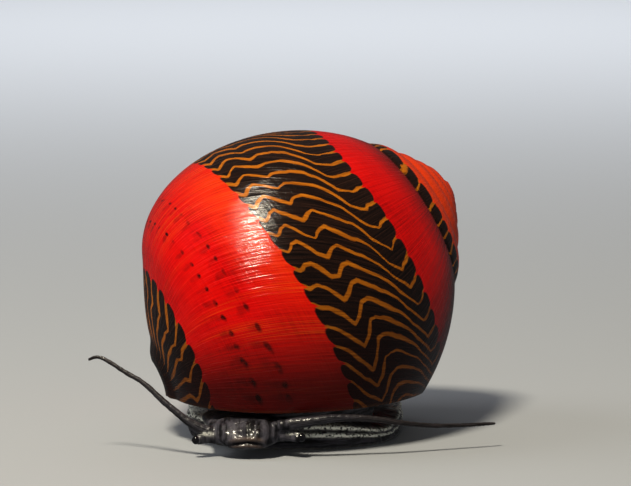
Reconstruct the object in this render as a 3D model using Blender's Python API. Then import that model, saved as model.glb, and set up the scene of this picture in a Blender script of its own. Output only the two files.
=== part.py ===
"""Nerite snail at life size, resting on its foot with both tentacles spread.

The snail faces -Y, +Z is up and the floor is at z = 0. Sizes are in millimetres and
turned into metres where a mesh is made. The shell is a logarithmic spiral swept by one
tilted ellipse, cut level along its lip, and the soft body fills its mouth.
"""

import math

import bmesh
import bpy
from mathutils import Vector

MM = 0.001
GAP = 0.3
TIGHT_GAP = 0.21
TURN = 2 * math.pi
BISECTIONS = 60
BEYOND = 20.0

# Shell: the spiral's apex, its axis and the ellipse that sweeps it
APEX = Vector((9.55, 5.67, 15.28))
AXIS_AZIMUTH = math.radians(24.1)
AXIS_RISE = math.radians(30.1)
WIDENING_RATE = 0.0531
LENGTHENING_RATE = 0.0666
SECTION_RADIUS = 2.96
SECTION_DROP = 13.51
SECTION_HALF_OUT = 8.18
SECTION_HALF_ALONG = 11.53
SECTION_TILT = math.radians(23.5)
BASE_CLOSING = math.radians(-84.0)
BASE_FULLNESS = 0.45
BASE_FULLEST = math.radians(-131.0)
BASE_FULLNESS_REACH = math.radians(10.0)
LIP_PHASE = math.radians(-59.8)
LIP_START = math.radians(-5.0)
LIP_SEARCH = (math.radians(-40.0), math.radians(100.0))
COLUMNS_PER_TURN = 48
SPIRE_TURNS = 4.2
SHOULDER_ROWS = 3
BODY_ROWS = 20
APEX_BLUNTING = 0.75

# Shell mouth: the level lip, its wall and the shallow hollow behind it
LIP_LEVEL = 2.7
LIP_WALL = 0.9
MOUTH_CENTRE = Vector((-0.4, -3.6))
MOUTH_LEFT = math.radians(-126.0)
MOUTH_RIGHT = math.radians(-10.0)
MOUTH_FRONT_POINTS = 26
MOUTH_REAR_POINTS = 14
MOUTH_REAR_REACH = 3.9
MOUTH_REAR_SQUARE = 0.6
CALLUS_INSET = 0.25
CALLUS_ROOT = math.radians(2.5)
CALLUS_REACH = math.radians(66.0)
CALLUS_STATIONS = 6
CALLUS_ROWS = 14
CALLUS_END = 0.98

# Profiles inside the mouth, as pairs of inset from the lip and rise above it
MOUTH_HOLLOW = (
    (LIP_WALL, -0.8),
    (LIP_WALL, 0.0),
    (LIP_WALL + 0.1, 0.8),
    (LIP_WALL + 0.6, 1.6),
    (LIP_WALL + 1.7, 2.2),
    (LIP_WALL + 3.3, 2.5),
)
MOUTH_CAP_RISE = 0.1
NECK_INSET = 2.4
NECK_LOW = 1.8
NECK_SHOULDERS = ((0.0, 1.5), (0.6, 1.9), (2.1, 2.2))
MANTLE_PROFILE = (
    (1.35, 0.0),
    (1.25, 0.25),
    (1.25, 0.6),
    (1.45, 1.0),
    (2.0, 1.15),
    (2.1, 0.9),
    (2.1, 0.15),
    (1.9, 0.0),
)

# Foot: an oval sole with a doubled front edge
FOOT_CENTRE = Vector((-0.45, 0.3))
FOOT_HALF_WIDTH = 6.95
FOOT_HALF_LENGTH = 8.2
FOOT_SQUARE = 0.8
FOOT_WAVE = 0.06
FOOT_WAVES = 9
FOOT_WAVE_START = 0.6
FOOT_COLUMNS = 72
FOOT_TAIL_THINNING = 0.5
FOOT_RIM_REACH = 3.0
FOOT_CUTS = (-3.2, 3.2)
FOOT_TOP = 1.5
FOOT_FLAT_RINGS = 3
FOOT_CUTTER_LOW = -0.5

# The foot from the sole's middle round its edge to the top, as inset and height
FOOT_PROFILE = (
    (3.5, 0.0),
    (1.2, 0.0),
    (0.35, 0.0),
    (0.06, 0.2),
    (0.0, 0.5),
    (0.12, 0.72),
    (0.42, 0.84),
    (0.16, 0.98),
    (0.1, 1.14),
    (0.32, 1.32),
    (0.9, 1.34),
    (2.2, 1.42),
    (4.2, 1.48),
)

# Head: squared ovals from the snout's tip back to the neck, as Y, half width, low and high
HEAD_X = -3.3
HEAD_SIDES = 28
HEAD_SQUARE = 0.85
HEAD_FRONT = -11.28
HEAD_TIP_HEIGHT = 1.15
HEAD_BACK_HEIGHT = 1.9
HEAD_STATIONS = (
    (-11.2, 0.85, 0.75, 1.6),
    (-10.95, 1.4, 0.62, 1.92),
    (-10.5, 1.9, 0.55, 2.15),
    (-10.05, 2.25, 0.58, 2.34),
    (-9.6, 2.45, 0.7, 2.4),
    (-9.2, 2.5, 0.9, 2.3),
    (-8.8, 2.45, 1.1, 2.14),
    (-8.2, 2.35, 1.38, 2.12),
    (-7.4, 2.25, 1.6, 2.12),
    (-6.8, 2.2, 1.65, 2.12),
)
MOUTH_LINE_HALF_WIDTH = 1.25
MOUTH_LINE_HEIGHT = 1.05
MOUTH_LINE_DROOP = 0.16
MOUTH_LINE_SWEEP = 0.33
MOUTH_LINE_DEPTH = 0.3
MOUTH_LINE_HALF_OPENING = 0.1
MOUTH_LINE_OUTER = 1.5
MOUTH_LINE_INNER = 0.4
MOUTH_LINE_CLOSING = 0.75
MOUTH_LINE_STEPS = 12

# Feelers: paths from root to tip, and radii along them
LEFT_FEELER = (
    (-4.7, -9.6, 1.5),
    (-5.4, -9.85, 1.5),
    (-6.1, -9.9, 1.68),
    (-7.0, -9.8, 2.2),
    (-8.3, -9.45, 3.2),
    (-9.65, -8.95, 4.35),
    (-10.75, -8.6, 4.95),
    (-12.3, -8.1, 5.8),
    (-13.1, -7.9, 5.65),
)
RIGHT_FEELER = (
    (-1.6, -9.9, 1.75),
    (-0.6, -10.3, 2.05),
    (0.6, -10.5, 2.25),
    (2.0, -10.4, 2.42),
    (3.4, -10.1, 2.4),
    (4.9, -9.75, 2.22),
    (6.1, -9.3, 1.95),
    (8.5, -8.3, 1.6),
    (12.0, -6.9, 1.5),
)
FEELER_ROOT_RADIUS = 0.42
FEELER_MIDDLE_RADIUS = 0.29
FEELER_TIP_RADIUS = 0.25
FEELER_TIP_ROUNDING = 0.04
FEELER_TIP_LEAST = 0.05
FEELER_TIP_SHARES = (0.975, 0.99)
FEELER_STEPS = 26
FEELER_LEAST_STEPS = 4
FEELER_CUTS = (0.31, 0.64)
FEELER_ROUNDNESS = 2
FEELER_MERGE = 0.00001
PATH_STEPS = 120

# Eyes at the ends of short stalks beside the feelers' roots
LEFT_STALK_ROOT = Vector((-5.1, -9.9, 1.2))
LEFT_EYE = Vector((-6.4, -10.55, 1.12))
RIGHT_STALK_ROOT = Vector((-1.4, -9.9, 1.3))
RIGHT_EYE = Vector((0.0, -10.6, 1.28))
EYE_RADIUS = 0.27
EYE_GAP = 0.15
EYE_SEGMENTS = 16
EYE_RINGS = 10
STALK_RADIUS = 0.36
STALK_TOP_RADIUS = 0.27
STALK_SIDES = 14
STALK_FEELER_SHARE = 0.6

# Operculum: a half-moon plate on the back of the foot
OPERCULUM_CENTRE = Vector((-0.3, 1.3))
OPERCULUM_HALF_WIDTH = 3.1
OPERCULUM_REACH = 3.6
OPERCULUM_BACK = 0.7
OPERCULUM_LOW = 1.75
OPERCULUM_THICKNESS = 0.5
OPERCULUM_SIDES = 36
OPERCULUM_MIDDLE = 0.8
OPERCULUM_LEVELS = (
    (0.15, 0.0),
    (0.0, 0.12),
    (0.0, 0.3),
    (0.2, 0.45),
    (1.2, OPERCULUM_THICKNESS),
)


def clear_scene():
    for obj in list(bpy.data.objects):
        bpy.data.objects.remove(obj, do_unlink=True)


def new_collection(name):
    collection = bpy.data.collections.new(name)
    bpy.context.scene.collection.children.link(collection)
    return collection


def material(name, colour, roughness, metallic=0.0):
    made = bpy.data.materials.new(name)
    made.use_nodes = True
    shader = made.node_tree.nodes["Principled BSDF"]
    shader.inputs["Base Color"].default_value = (*colour, 1.0)
    shader.inputs["Roughness"].default_value = roughness
    shader.inputs["Metallic"].default_value = metallic
    return made


def object_from(name, mesh_data, finish=None, collection=None):
    """Turns a bmesh in millimetres into an object in metres with its faces pointing out."""
    bmesh.ops.recalc_face_normals(mesh_data, faces=mesh_data.faces)
    bmesh.ops.scale(mesh_data, vec=(MM, MM, MM), verts=mesh_data.verts)
    mesh = bpy.data.meshes.new(name)
    mesh_data.to_mesh(mesh)
    mesh_data.free()
    if finish:
        mesh.materials.append(finish)
    obj = bpy.data.objects.new(name, mesh)
    (collection or CUTTERS).objects.link(obj)
    if not collection:
        obj.hide_render = True
        obj.display_type = "WIRE"
    return obj


def loft(rings, first_centre=None, last_centre=None, closed_along=False):
    """A bmesh over equal closed rings, ended by fans to the two centres."""
    made = bmesh.new()
    rows = [[made.verts.new(point) for point in ring] for ring in rings]
    count = len(rows[0])
    pairs = list(zip(rows[:-1], rows[1:]))
    if closed_along:
        pairs.append((rows[-1], rows[0]))
    for low, high in pairs:
        for i in range(count):
            j = (i + 1) % count
            made.faces.new((low[i], low[j], high[j], high[i]))
    for row, centre in ((rows[0], first_centre), (rows[-1], last_centre)):
        if centre is None:
            continue
        middle = made.verts.new(centre)
        for i in range(count):
            made.faces.new((row[i], row[(i + 1) % count], middle))
    return made


def evaluated_mesh(obj):
    graph = bpy.context.evaluated_depsgraph_get()
    return bpy.data.meshes.new_from_object(obj.evaluated_get(graph), depsgraph=graph)


def boolean(obj, other, operation, solver="EXACT"):
    """Applies one Boolean to obj and removes the other object."""
    modifier = obj.modifiers.new("shape", "BOOLEAN")
    modifier.operation = operation
    modifier.solver = solver
    modifier.object = other
    bpy.context.view_layer.update()
    mesh = evaluated_mesh(obj)
    obj.modifiers.clear()
    obj.data = mesh
    bpy.data.objects.remove(other, do_unlink=True)
    keep_largest_body(obj)


def keep_largest_body(obj):
    """Keeps the connected piece with the most volume and drops loose scraps."""
    work = bmesh.new()
    work.from_mesh(obj.data)
    unseen = set(work.faces)
    bodies = []
    while unseen:
        front = [unseen.pop()]
        body = set(front)
        while front:
            face = front.pop()
            for edge in face.edges:
                for near in edge.link_faces:
                    if near in unseen:
                        unseen.discard(near)
                        body.add(near)
                        front.append(near)
        bodies.append(body)
    sizes = []
    for body in bodies:
        volume = 0.0
        for face in body:
            corners = [vertex.co for vertex in face.verts]
            for i in range(1, len(corners) - 1):
                volume += corners[0].dot(corners[i].cross(corners[i + 1]))
        sizes.append(volume)
    largest = bodies[sizes.index(max(sizes))]
    scraps = [face for face in work.faces if face not in largest]
    bmesh.ops.delete(work, geom=scraps, context="FACES")
    loose = [vertex for vertex in work.verts if not vertex.link_faces]
    bmesh.ops.delete(work, geom=loose, context="VERTS")
    work.to_mesh(obj.data)
    work.free()


def box(name, low, high):
    made = bmesh.new()
    bmesh.ops.create_cube(made, size=1.0)
    middle = [(a + b) / 2 for a, b in zip(low, high)]
    size = [b - a for a, b in zip(low, high)]
    bmesh.ops.scale(made, vec=size, verts=made.verts)
    bmesh.ops.translate(made, vec=middle, verts=made.verts)
    return object_from(name, made)


# Shell

AXIS = Vector(
    (
        math.cos(AXIS_RISE) * math.cos(AXIS_AZIMUTH),
        math.cos(AXIS_RISE) * math.sin(AXIS_AZIMUTH),
        math.sin(AXIS_RISE),
    )
)
NEAR = (Vector((0, -1, 0)) + AXIS * AXIS.y).normalized()
UPWARD = NEAR.cross(AXIS)


def bisect(function, low, high):
    """The root of a function that is positive at low and negative at high."""
    for _ in range(BISECTIONS):
        middle = (low + high) / 2
        if function(middle) > 0:
            low = middle
        else:
            high = middle
    return (low + high) / 2


def section(v):
    """Radius from the axis and place along it, on the full-grown ellipse at angle v."""
    out = SECTION_HALF_OUT * math.cos(v)
    along = SECTION_HALF_ALONG * math.sin(v)
    radius = SECTION_RADIUS + out * math.cos(SECTION_TILT) - along * math.sin(SECTION_TILT)
    place = -SECTION_DROP + out * math.sin(SECTION_TILT) + along * math.cos(SECTION_TILT)
    return radius, place


def section_angle(radius, place):
    """The angle on the ellipse, and how far outside it the point lies (1 is on it)."""
    x = radius - SECTION_RADIUS
    y = place + SECTION_DROP
    out = (x * math.cos(SECTION_TILT) + y * math.sin(SECTION_TILT)) / SECTION_HALF_OUT
    along = (y * math.cos(SECTION_TILT) - x * math.sin(SECTION_TILT)) / SECTION_HALF_ALONG
    return math.atan2(along, out), math.hypot(out, along)


def on_older_whorl(v):
    """Where the point of a whorl at angle v lies on the section one turn older."""
    radius, place = section(v)
    return section_angle(
        radius * math.exp(WIDENING_RATE * TURN),
        place * math.exp(LENGTHENING_RATE * TURN),
    )


SUTURE = bisect(lambda v: on_older_whorl(v)[1] - 1, math.radians(33), math.radians(80))
COVER = on_older_whorl(SUTURE)[0]
BASE = bisect(lambda v: -section(v)[0], math.radians(-179), math.radians(-100))


def axis_place(u, v):
    """Place along the axis. Towards the base all sections are drawn to one pole."""
    left = math.exp(-LENGTHENING_RATE * min(u, TURN))
    share = max(0.0, min(1.0, (BASE_CLOSING - v) / (BASE_CLOSING - BASE)))
    drawn = share * share * (2 - share)
    closing = section(BASE)[1] * (1 - left) * drawn
    fullness = max(0.0, 1 - ((v - BASE_FULLEST) / BASE_FULLNESS_REACH) ** 2)
    closing -= BASE_FULLNESS * fullness * fullness
    return section(v)[1] * math.exp(-LENGTHENING_RATE * u) + closing


def shell_point(u, v):
    """A point of the shell: u is the angle of growth back from the lip, v the section's."""
    radius = section(v)[0] * math.exp(-WIDENING_RATE * u)
    turn = u + LIP_PHASE
    direction = NEAR * math.cos(turn) + UPWARD * math.sin(turn)
    return APEX + direction * radius + AXIS * axis_place(u, v)


def spread(first, last, count):
    return [first + (last - first) * i / count for i in range(count + 1)]


def shell_body():
    """The whole spiral as one closed surface with a flat wall where growth ends."""
    made = bmesh.new()
    shoulder = spread(SUTURE, COVER, SHOULDER_ROWS)
    body = shoulder + spread(COVER, BASE, BODY_ROWS)[1:-1]
    per_turn = COLUMNS_PER_TURN
    last = per_turn + round(SPIRE_TURNS * per_turn)
    columns = []
    for i in range(last + 1):
        u = LIP_START + TURN * i / per_turn
        rows = body if i <= per_turn else shoulder
        column = [made.verts.new(shell_point(u, v)) for v in rows]
        if i >= per_turn:
            made.verts.remove(column[SHOULDER_ROWS])
            column[SHOULDER_ROWS] = columns[i - per_turn][0]
        columns.append(column)
    for first, second in zip(columns[:-1], columns[1:]):
        for j in range(min(len(first), len(second)) - 1):
            made.faces.new((first[j], first[j + 1], second[j]))
            made.faces.new((first[j + 1], second[j + 1], second[j]))
    pole = made.verts.new(shell_point(LIP_START, BASE))
    for first, second in zip(columns[:per_turn], columns[1:]):
        made.faces.new((first[-1], pole, second[-1]))
    growth_wall(made, columns[0], columns[per_turn], pole)
    tip = made.verts.new(apex_tip(LIP_START + TURN * last / per_turn))
    opening = [column[0] for column in columns[last - per_turn :]]
    rim = opening + columns[last][1:SHOULDER_ROWS]
    for i, vertex in enumerate(rim):
        made.faces.new((vertex, rim[(i + 1) % len(rim)], tip))
    return made


def growth_wall(made, newest, older, pole):
    """Closes the space between the newest section and the one a turn older."""
    for j in range(SHOULDER_ROWS + 1):
        made.faces.new((newest[j], newest[j + 1], older[SHOULDER_ROWS + 1]))
    for j in range(SHOULDER_ROWS + 1, len(newest) - 1):
        made.faces.new((newest[j], newest[j + 1], older[j + 1]))
        made.faces.new((newest[j], older[j + 1], older[j]))
    made.faces.new((newest[-1], pole, older[-1]))


def apex_tip(u):
    """A point between the last whorl's top and the spiral's own limit."""
    place = section(SUTURE)[1] * math.exp(-LENGTHENING_RATE * u)
    return APEX + AXIS * place * APEX_BLUNTING


def callus():
    """The smooth shelf between the lip's rear corner and the whorl behind it."""
    made = bmesh.new()
    end = LIP_START + TURN
    behind = spread(end - CALLUS_REACH, end - CALLUS_ROOT, CALLUS_STATIONS)
    for u in [LIP_START + CALLUS_ROOT] + behind:
        for v in spread(COVER, BASE * CALLUS_END, CALLUS_ROWS):
            surface = shell_point(u, v)
            core = APEX + AXIS * axis_place(u, v)
            made.verts.new(surface + (core - surface).normalized() * CALLUS_INSET)
    result = bmesh.ops.convex_hull(made, input=made.verts)
    spare = [item for item in result["geom_interior"] if isinstance(item, bmesh.types.BMVert)]
    bmesh.ops.delete(made, geom=spare, context="VERTS")
    return made


def lip_point(v):
    """Where growth line v of the body whorl reaches the level of the lip."""
    u = bisect(lambda angle: LIP_LEVEL - shell_point(angle, v).z, *LIP_SEARCH)
    return shell_point(u, v).xy


def mouth_ring(inset, height):
    """The half-moon outline of the mouth at a distance inside the lip."""
    front = [lip_point(v) for v in spread(MOUTH_LEFT, MOUTH_RIGHT, MOUTH_FRONT_POINTS)]
    left = front[0]
    right = front[-1]
    rear = []
    for i in range(1, MOUTH_REAR_POINTS):
        turn = math.pi * i / MOUTH_REAR_POINTS
        share = (1 - math.copysign(abs(math.cos(turn)) ** MOUTH_REAR_SQUARE, math.cos(turn))) / 2
        point = right.lerp(left, share)
        point.y += MOUTH_REAR_REACH * math.sin(turn) ** MOUTH_REAR_SQUARE
        rear.append(point)
    ring = []
    for point in front + rear:
        inward = (MOUTH_CENTRE - point).normalized()
        moved = point + inward * inset
        ring.append(Vector((moved.x, moved.y, height)))
    return ring


def mouth_loft(profile, cap=True):
    """Lofts mouth rings through a list of inset and height above the lip."""
    rings = [mouth_ring(inset, LIP_LEVEL + rise) for inset, rise in profile]
    if not cap:
        return loft(rings, closed_along=True)
    low = Vector((*MOUTH_CENTRE, LIP_LEVEL + profile[0][1]))
    high = Vector((*MOUTH_CENTRE, LIP_LEVEL + profile[-1][1] + MOUTH_CAP_RISE))
    return loft(rings, low, high)


def build_shell():
    finish = material("shell_red_and_black", (0.45, 0.03, 0.012), 0.28)
    shell = object_from("shell", shell_body(), finish, PARTS)
    boolean(shell, object_from("callus_cutter", callus()), "UNION", "MANIFOLD")
    below_lip = box("below_lip", (-BEYOND, -BEYOND, -BEYOND), (BEYOND, BEYOND, LIP_LEVEL))
    boolean(shell, below_lip, "DIFFERENCE", "MANIFOLD")
    hollow = object_from("mouth_cutter", mouth_loft(MOUTH_HOLLOW))
    boolean(shell, hollow, "DIFFERENCE", "MANIFOLD")


# Soft parts inside the mouth

def neck_loft(grown=0.0):
    side = NECK_INSET - grown
    profile = [(side, NECK_LOW - grown - LIP_LEVEL)]
    for inset, rise in NECK_SHOULDERS:
        profile.append((side + inset, rise + grown))
    return mouth_loft(profile)


def build_neck():
    finish = material("flesh_neck", (0.05, 0.04, 0.038), 0.35)
    object_from("neck", neck_loft(), finish, PARTS)


def build_mantle():
    finish = material("flesh_mantle", (0.16, 0.09, 0.06), 0.4)
    object_from("mantle_edge", mouth_loft(MANTLE_PROFILE, cap=False), finish, PARTS)


# Foot

def foot_point(angle, inset, height, grown):
    """A point of the oval foot; angle 0 is +X and -90 degrees is the front."""
    x = math.copysign(abs(math.cos(angle)) ** FOOT_SQUARE, math.cos(angle))
    y = math.copysign(abs(math.sin(angle)) ** FOOT_SQUARE, math.sin(angle))
    rear = max(0.0, math.sin(angle))
    wave = FOOT_WAVE * math.sin(FOOT_WAVES * angle + FOOT_WAVE_START)
    reach_x = FOOT_HALF_WIDTH + wave - inset + grown
    reach_y = FOOT_HALF_LENGTH + wave - inset + grown
    rim = 1 - min(1.0, inset / FOOT_RIM_REACH)
    lowered = height * (1 - FOOT_TAIL_THINNING * rear * rear * rim)
    return Vector((FOOT_CENTRE.x + x * reach_x, FOOT_CENTRE.y + y * reach_y, lowered + grown))


def foot_loft(grown=0.0):
    """The foot as rings from the sole's middle round the doubled edge to the top."""
    angles = [TURN * i / FOOT_COLUMNS for i in range(FOOT_COLUMNS)]
    rings = []
    for inset, height in FOOT_PROFILE:
        rings.append([foot_point(angle, inset, height, grown) for angle in angles])
    if grown:
        below = [Vector((point.x, point.y, FOOT_CUTTER_LOW)) for point in rings[0]]
        rings = [below] + rings[FOOT_FLAT_RINGS:]
    low = Vector((*FOOT_CENTRE, rings[0][0].z))
    high = Vector((*FOOT_CENTRE, FOOT_TOP + grown))
    return loft(rings, low, high)


def build_foot():
    finish = material("flesh_foot", (0.07, 0.06, 0.055), 0.35)
    front_cut, rear_cut = FOOT_CUTS
    spans = {
        "foot_front": (-BEYOND, front_cut - GAP / 2),
        "foot_middle": (front_cut + GAP / 2, rear_cut - GAP / 2),
        "foot_rear": (rear_cut + GAP / 2, BEYOND),
    }
    for name, (low, high) in spans.items():
        foot = object_from(name, foot_loft(), finish, PARTS)
        span = box("span", (-BEYOND, low, -BEYOND), (BEYOND, high, BEYOND))
        boolean(foot, span, "INTERSECT")


# Head

def head_loft(grown=0.0):
    """Rings round the head from the snout's tip to the neck, as squared ovals."""
    rings = []
    for y, half_width, low, high in HEAD_STATIONS:
        middle = (low + high) / 2
        half_height = (high - low) / 2 + grown
        ring = []
        for i in range(HEAD_SIDES):
            angle = TURN * i / HEAD_SIDES
            x = math.copysign(abs(math.cos(angle)) ** HEAD_SQUARE, math.cos(angle))
            z = math.copysign(abs(math.sin(angle)) ** HEAD_SQUARE, math.sin(angle))
            side = HEAD_X + x * (half_width + grown)
            ring.append(Vector((side, y, middle + z * half_height)))
        rings.append(ring)
    tip = Vector((HEAD_X, HEAD_FRONT - grown, HEAD_TIP_HEIGHT))
    back = Vector((HEAD_X, HEAD_STATIONS[-1][0], HEAD_BACK_HEIGHT))
    return loft(rings, tip, back)


def build_head():
    finish = material("flesh_head", (0.035, 0.03, 0.034), 0.25)
    head = object_from("head", head_loft(), finish, PARTS)
    neck_cutter = object_from("neck_cutter", neck_loft(GAP))
    boolean(head, neck_cutter, "DIFFERENCE", "MANIFOLD")
    foot_cutter = object_from("foot_cutter", foot_loft(GAP))
    boolean(head, foot_cutter, "DIFFERENCE", "MANIFOLD")
    boolean(head, object_from("mouth_line", mouth_line()), "DIFFERENCE")


def mouth_line():
    """A thin curved groove across the front of the snout, between its lips."""
    rings = []
    for share in spread(-1.0, 1.0, MOUTH_LINE_STEPS):
        closing = 1 - MOUTH_LINE_CLOSING * share * share
        middle = Vector(
            (
                HEAD_X + share * MOUTH_LINE_HALF_WIDTH,
                HEAD_FRONT + MOUTH_LINE_SWEEP * share * share,
                MOUTH_LINE_HEIGHT - MOUTH_LINE_DROOP * share * share,
            )
        )
        inward = Vector((0, MOUTH_LINE_DEPTH * closing, 0))
        upward = Vector((0, 0, MOUTH_LINE_HALF_OPENING * closing))
        ring = [
            middle - inward - upward * MOUTH_LINE_OUTER,
            middle + inward - upward * MOUTH_LINE_INNER,
            middle + inward + upward * MOUTH_LINE_INNER,
            middle - inward + upward * MOUTH_LINE_OUTER,
        ]
        rings.append(ring)
    first = sum(rings[0], Vector()) / len(rings[0])
    last = sum(rings[-1], Vector()) / len(rings[-1])
    return loft(rings, first, last)


# Feelers, eyestalks and eyes

def curve_point(points, place):
    """A point of a smooth curve through the points; place counts the points passed."""
    i = min(int(place), len(points) - 2)
    t = place - i
    p0 = Vector(points[max(i - 1, 0)])
    p1 = Vector(points[i])
    p2 = Vector(points[i + 1])
    p3 = Vector(points[min(i + 2, len(points) - 1)])
    slope = (p2 - p0) * t
    bend = (2 * p0 - 5 * p1 + 4 * p2 - p3) * t**2
    twist = (3 * p1 - p0 - 3 * p2 + p3) * t**3
    return (2 * p1 + slope + bend + twist) / 2


def measured_path(points):
    """Points along the curve with the share of its length that each one lies at."""
    steps = [curve_point(points, place) for place in spread(0.0, len(points) - 1, PATH_STEPS)]
    lengths = [0.0]
    for a, b in zip(steps[:-1], steps[1:]):
        lengths.append(lengths[-1] + (b - a).length)
    return steps, lengths


def path_point(path, share):
    steps, lengths = path
    wanted = share * lengths[-1]
    for i in range(1, len(steps)):
        if lengths[i] >= wanted:
            blend = (wanted - lengths[i - 1]) / (lengths[i] - lengths[i - 1])
            return steps[i - 1].lerp(steps[i], blend)
    return steps[-1]


def feeler_radius(share):
    """Radius of a feeler at a share of its length, rounded off at the very tip."""
    tip_cut = FEELER_CUTS[1]
    if share < tip_cut:
        blend = math.sqrt(share / tip_cut)
        return FEELER_ROOT_RADIUS + (FEELER_MIDDLE_RADIUS - FEELER_ROOT_RADIUS) * blend
    blend = (share - tip_cut) / (1 - tip_cut)
    radius = FEELER_MIDDLE_RADIUS + (FEELER_TIP_RADIUS - FEELER_MIDDLE_RADIUS) * blend
    into_tip = max(0.0, 1 - (1 - share) / FEELER_TIP_ROUNDING)
    return radius * math.sqrt(max(FEELER_TIP_LEAST, 1 - into_tip * into_tip))


def tube(name, path, first, last, grown=0.0):
    """A tapered tube as a bevelled curve over part of a path, turned into a mesh."""
    curve = bpy.data.curves.new(name, "CURVE")
    curve.dimensions = "3D"
    curve.bevel_depth = MM
    curve.bevel_resolution = FEELER_ROUNDNESS
    curve.use_fill_caps = True
    steps = max(FEELER_LEAST_STEPS, round(FEELER_STEPS * (last - first)))
    shares = spread(first, last, steps)
    if last == 1.0:
        shares = sorted([*shares, *FEELER_TIP_SHARES])
    spline = curve.splines.new("POLY")
    spline.points.add(len(shares) - 1)
    for slot, share in zip(spline.points, shares):
        slot.co = (*(path_point(path, share) * MM), 1.0)
        slot.radius = feeler_radius(share) + grown
    holder = bpy.data.objects.new(name, curve)
    CUTTERS.objects.link(holder)
    bpy.context.view_layer.update()
    mesh = evaluated_mesh(holder)
    bpy.data.objects.remove(holder, do_unlink=True)
    mesh.name = name
    work = bmesh.new()
    work.from_mesh(mesh)
    bmesh.ops.remove_doubles(work, verts=work.verts, dist=FEELER_MERGE)
    bmesh.ops.recalc_face_normals(work, faces=work.faces)
    work.to_mesh(mesh)
    work.free()
    obj = bpy.data.objects.new(name, mesh)
    CUTTERS.objects.link(obj)
    obj.hide_render = True
    obj.display_type = "WIRE"
    return obj


def to_parts(obj, finish):
    CUTTERS.objects.unlink(obj)
    PARTS.objects.link(obj)
    obj.hide_render = False
    obj.display_type = "TEXTURED"
    obj.data.materials.clear()
    obj.data.materials.append(finish)


def build_feeler(side, points):
    finish = material("flesh_feeler_" + side, (0.12, 0.085, 0.065), 0.38)
    path = measured_path(points)
    half_gap = GAP / 2 / path[1][-1]
    first_cut, second_cut = FEELER_CUTS
    spans = {
        "root": (0.0, first_cut - half_gap),
        "middle": (first_cut + half_gap, second_cut - half_gap),
        "tip": (second_cut + half_gap, 1.0),
    }
    for length, (first, last) in spans.items():
        piece = tube("tentacle_" + side + "_" + length, path, first, last)
        if length == "root":
            boolean(piece, object_from("head_cutter", head_loft(GAP)), "DIFFERENCE")
        to_parts(piece, finish)


def cone(name, start, end, start_radius, end_radius):
    made = bmesh.new()
    direction = end - start
    bmesh.ops.create_cone(
        made,
        cap_ends=True,
        segments=STALK_SIDES,
        radius1=start_radius,
        radius2=end_radius,
        depth=direction.length,
    )
    turn = Vector((0, 0, 1)).rotation_difference(direction)
    bmesh.ops.rotate(made, verts=made.verts, matrix=turn.to_matrix())
    bmesh.ops.translate(made, verts=made.verts, vec=(start + end) / 2)
    return object_from(name, made)


def ball(name, centre, radius):
    made = bmesh.new()
    bmesh.ops.create_uvsphere(
        made, u_segments=EYE_SEGMENTS, v_segments=EYE_RINGS, radius=radius
    )
    bmesh.ops.translate(made, verts=made.verts, vec=centre)
    return object_from(name, made)


def build_eye(side, points, root, eye):
    flesh = material("flesh_stalk_" + side, (0.06, 0.045, 0.04), 0.35)
    black = material("eye_black_" + side, (0.004, 0.004, 0.005), 0.08)
    stalk = cone("eyestalk_" + side, root, eye, STALK_RADIUS, STALK_TOP_RADIUS)
    boolean(stalk, object_from("head_cutter", head_loft(TIGHT_GAP)), "DIFFERENCE")
    path = measured_path(points)
    feeler = tube("feeler_cutter", path, 0.0, STALK_FEELER_SHARE, TIGHT_GAP)
    boolean(stalk, feeler, "DIFFERENCE")
    boolean(stalk, ball("eye_cutter", eye, EYE_RADIUS + EYE_GAP), "DIFFERENCE")
    to_parts(stalk, flesh)
    to_parts(ball("eye_" + side, eye, EYE_RADIUS), black)


# Operculum

def build_operculum():
    finish = material("operculum_horn", (0.35, 0.2, 0.09), 0.4)
    rings = []
    for inset, rise in OPERCULUM_LEVELS:
        ring = []
        for i in range(OPERCULUM_SIDES):
            angle = TURN * i / OPERCULUM_SIDES
            reach = OPERCULUM_REACH if math.sin(angle) > 0 else OPERCULUM_BACK
            x = OPERCULUM_CENTRE.x + math.cos(angle) * (OPERCULUM_HALF_WIDTH - inset)
            y = OPERCULUM_CENTRE.y + math.sin(angle) * reach * (1 - inset / OPERCULUM_REACH)
            ring.append(Vector((x, y, OPERCULUM_LOW + rise)))
        rings.append(ring)
    middle = OPERCULUM_CENTRE + Vector((0, OPERCULUM_MIDDLE))
    low = Vector((*middle, OPERCULUM_LOW))
    high = Vector((*middle, OPERCULUM_LOW + OPERCULUM_THICKNESS))
    object_from("operculum", loft(rings, low, high), finish, PARTS)


clear_scene()
PARTS = new_collection("snail")
CUTTERS = new_collection("cutters")
CUTTERS.hide_render = True

build_shell()
build_neck()
build_mantle()
build_foot()
build_head()
build_feeler("left", LEFT_FEELER)
build_feeler("right", RIGHT_FEELER)
build_eye("left", LEFT_FEELER, LEFT_STALK_ROOT, LEFT_EYE)
build_eye("right", RIGHT_FEELER, RIGHT_STALK_ROOT, RIGHT_EYE)
build_operculum()
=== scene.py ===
"""Looks of a red and black banded nerite snail at life size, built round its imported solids."""

import math

import bmesh
import bpy
import numpy as np
from mathutils import Matrix, Vector
from mathutils.bvhtree import BVHTree


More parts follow.
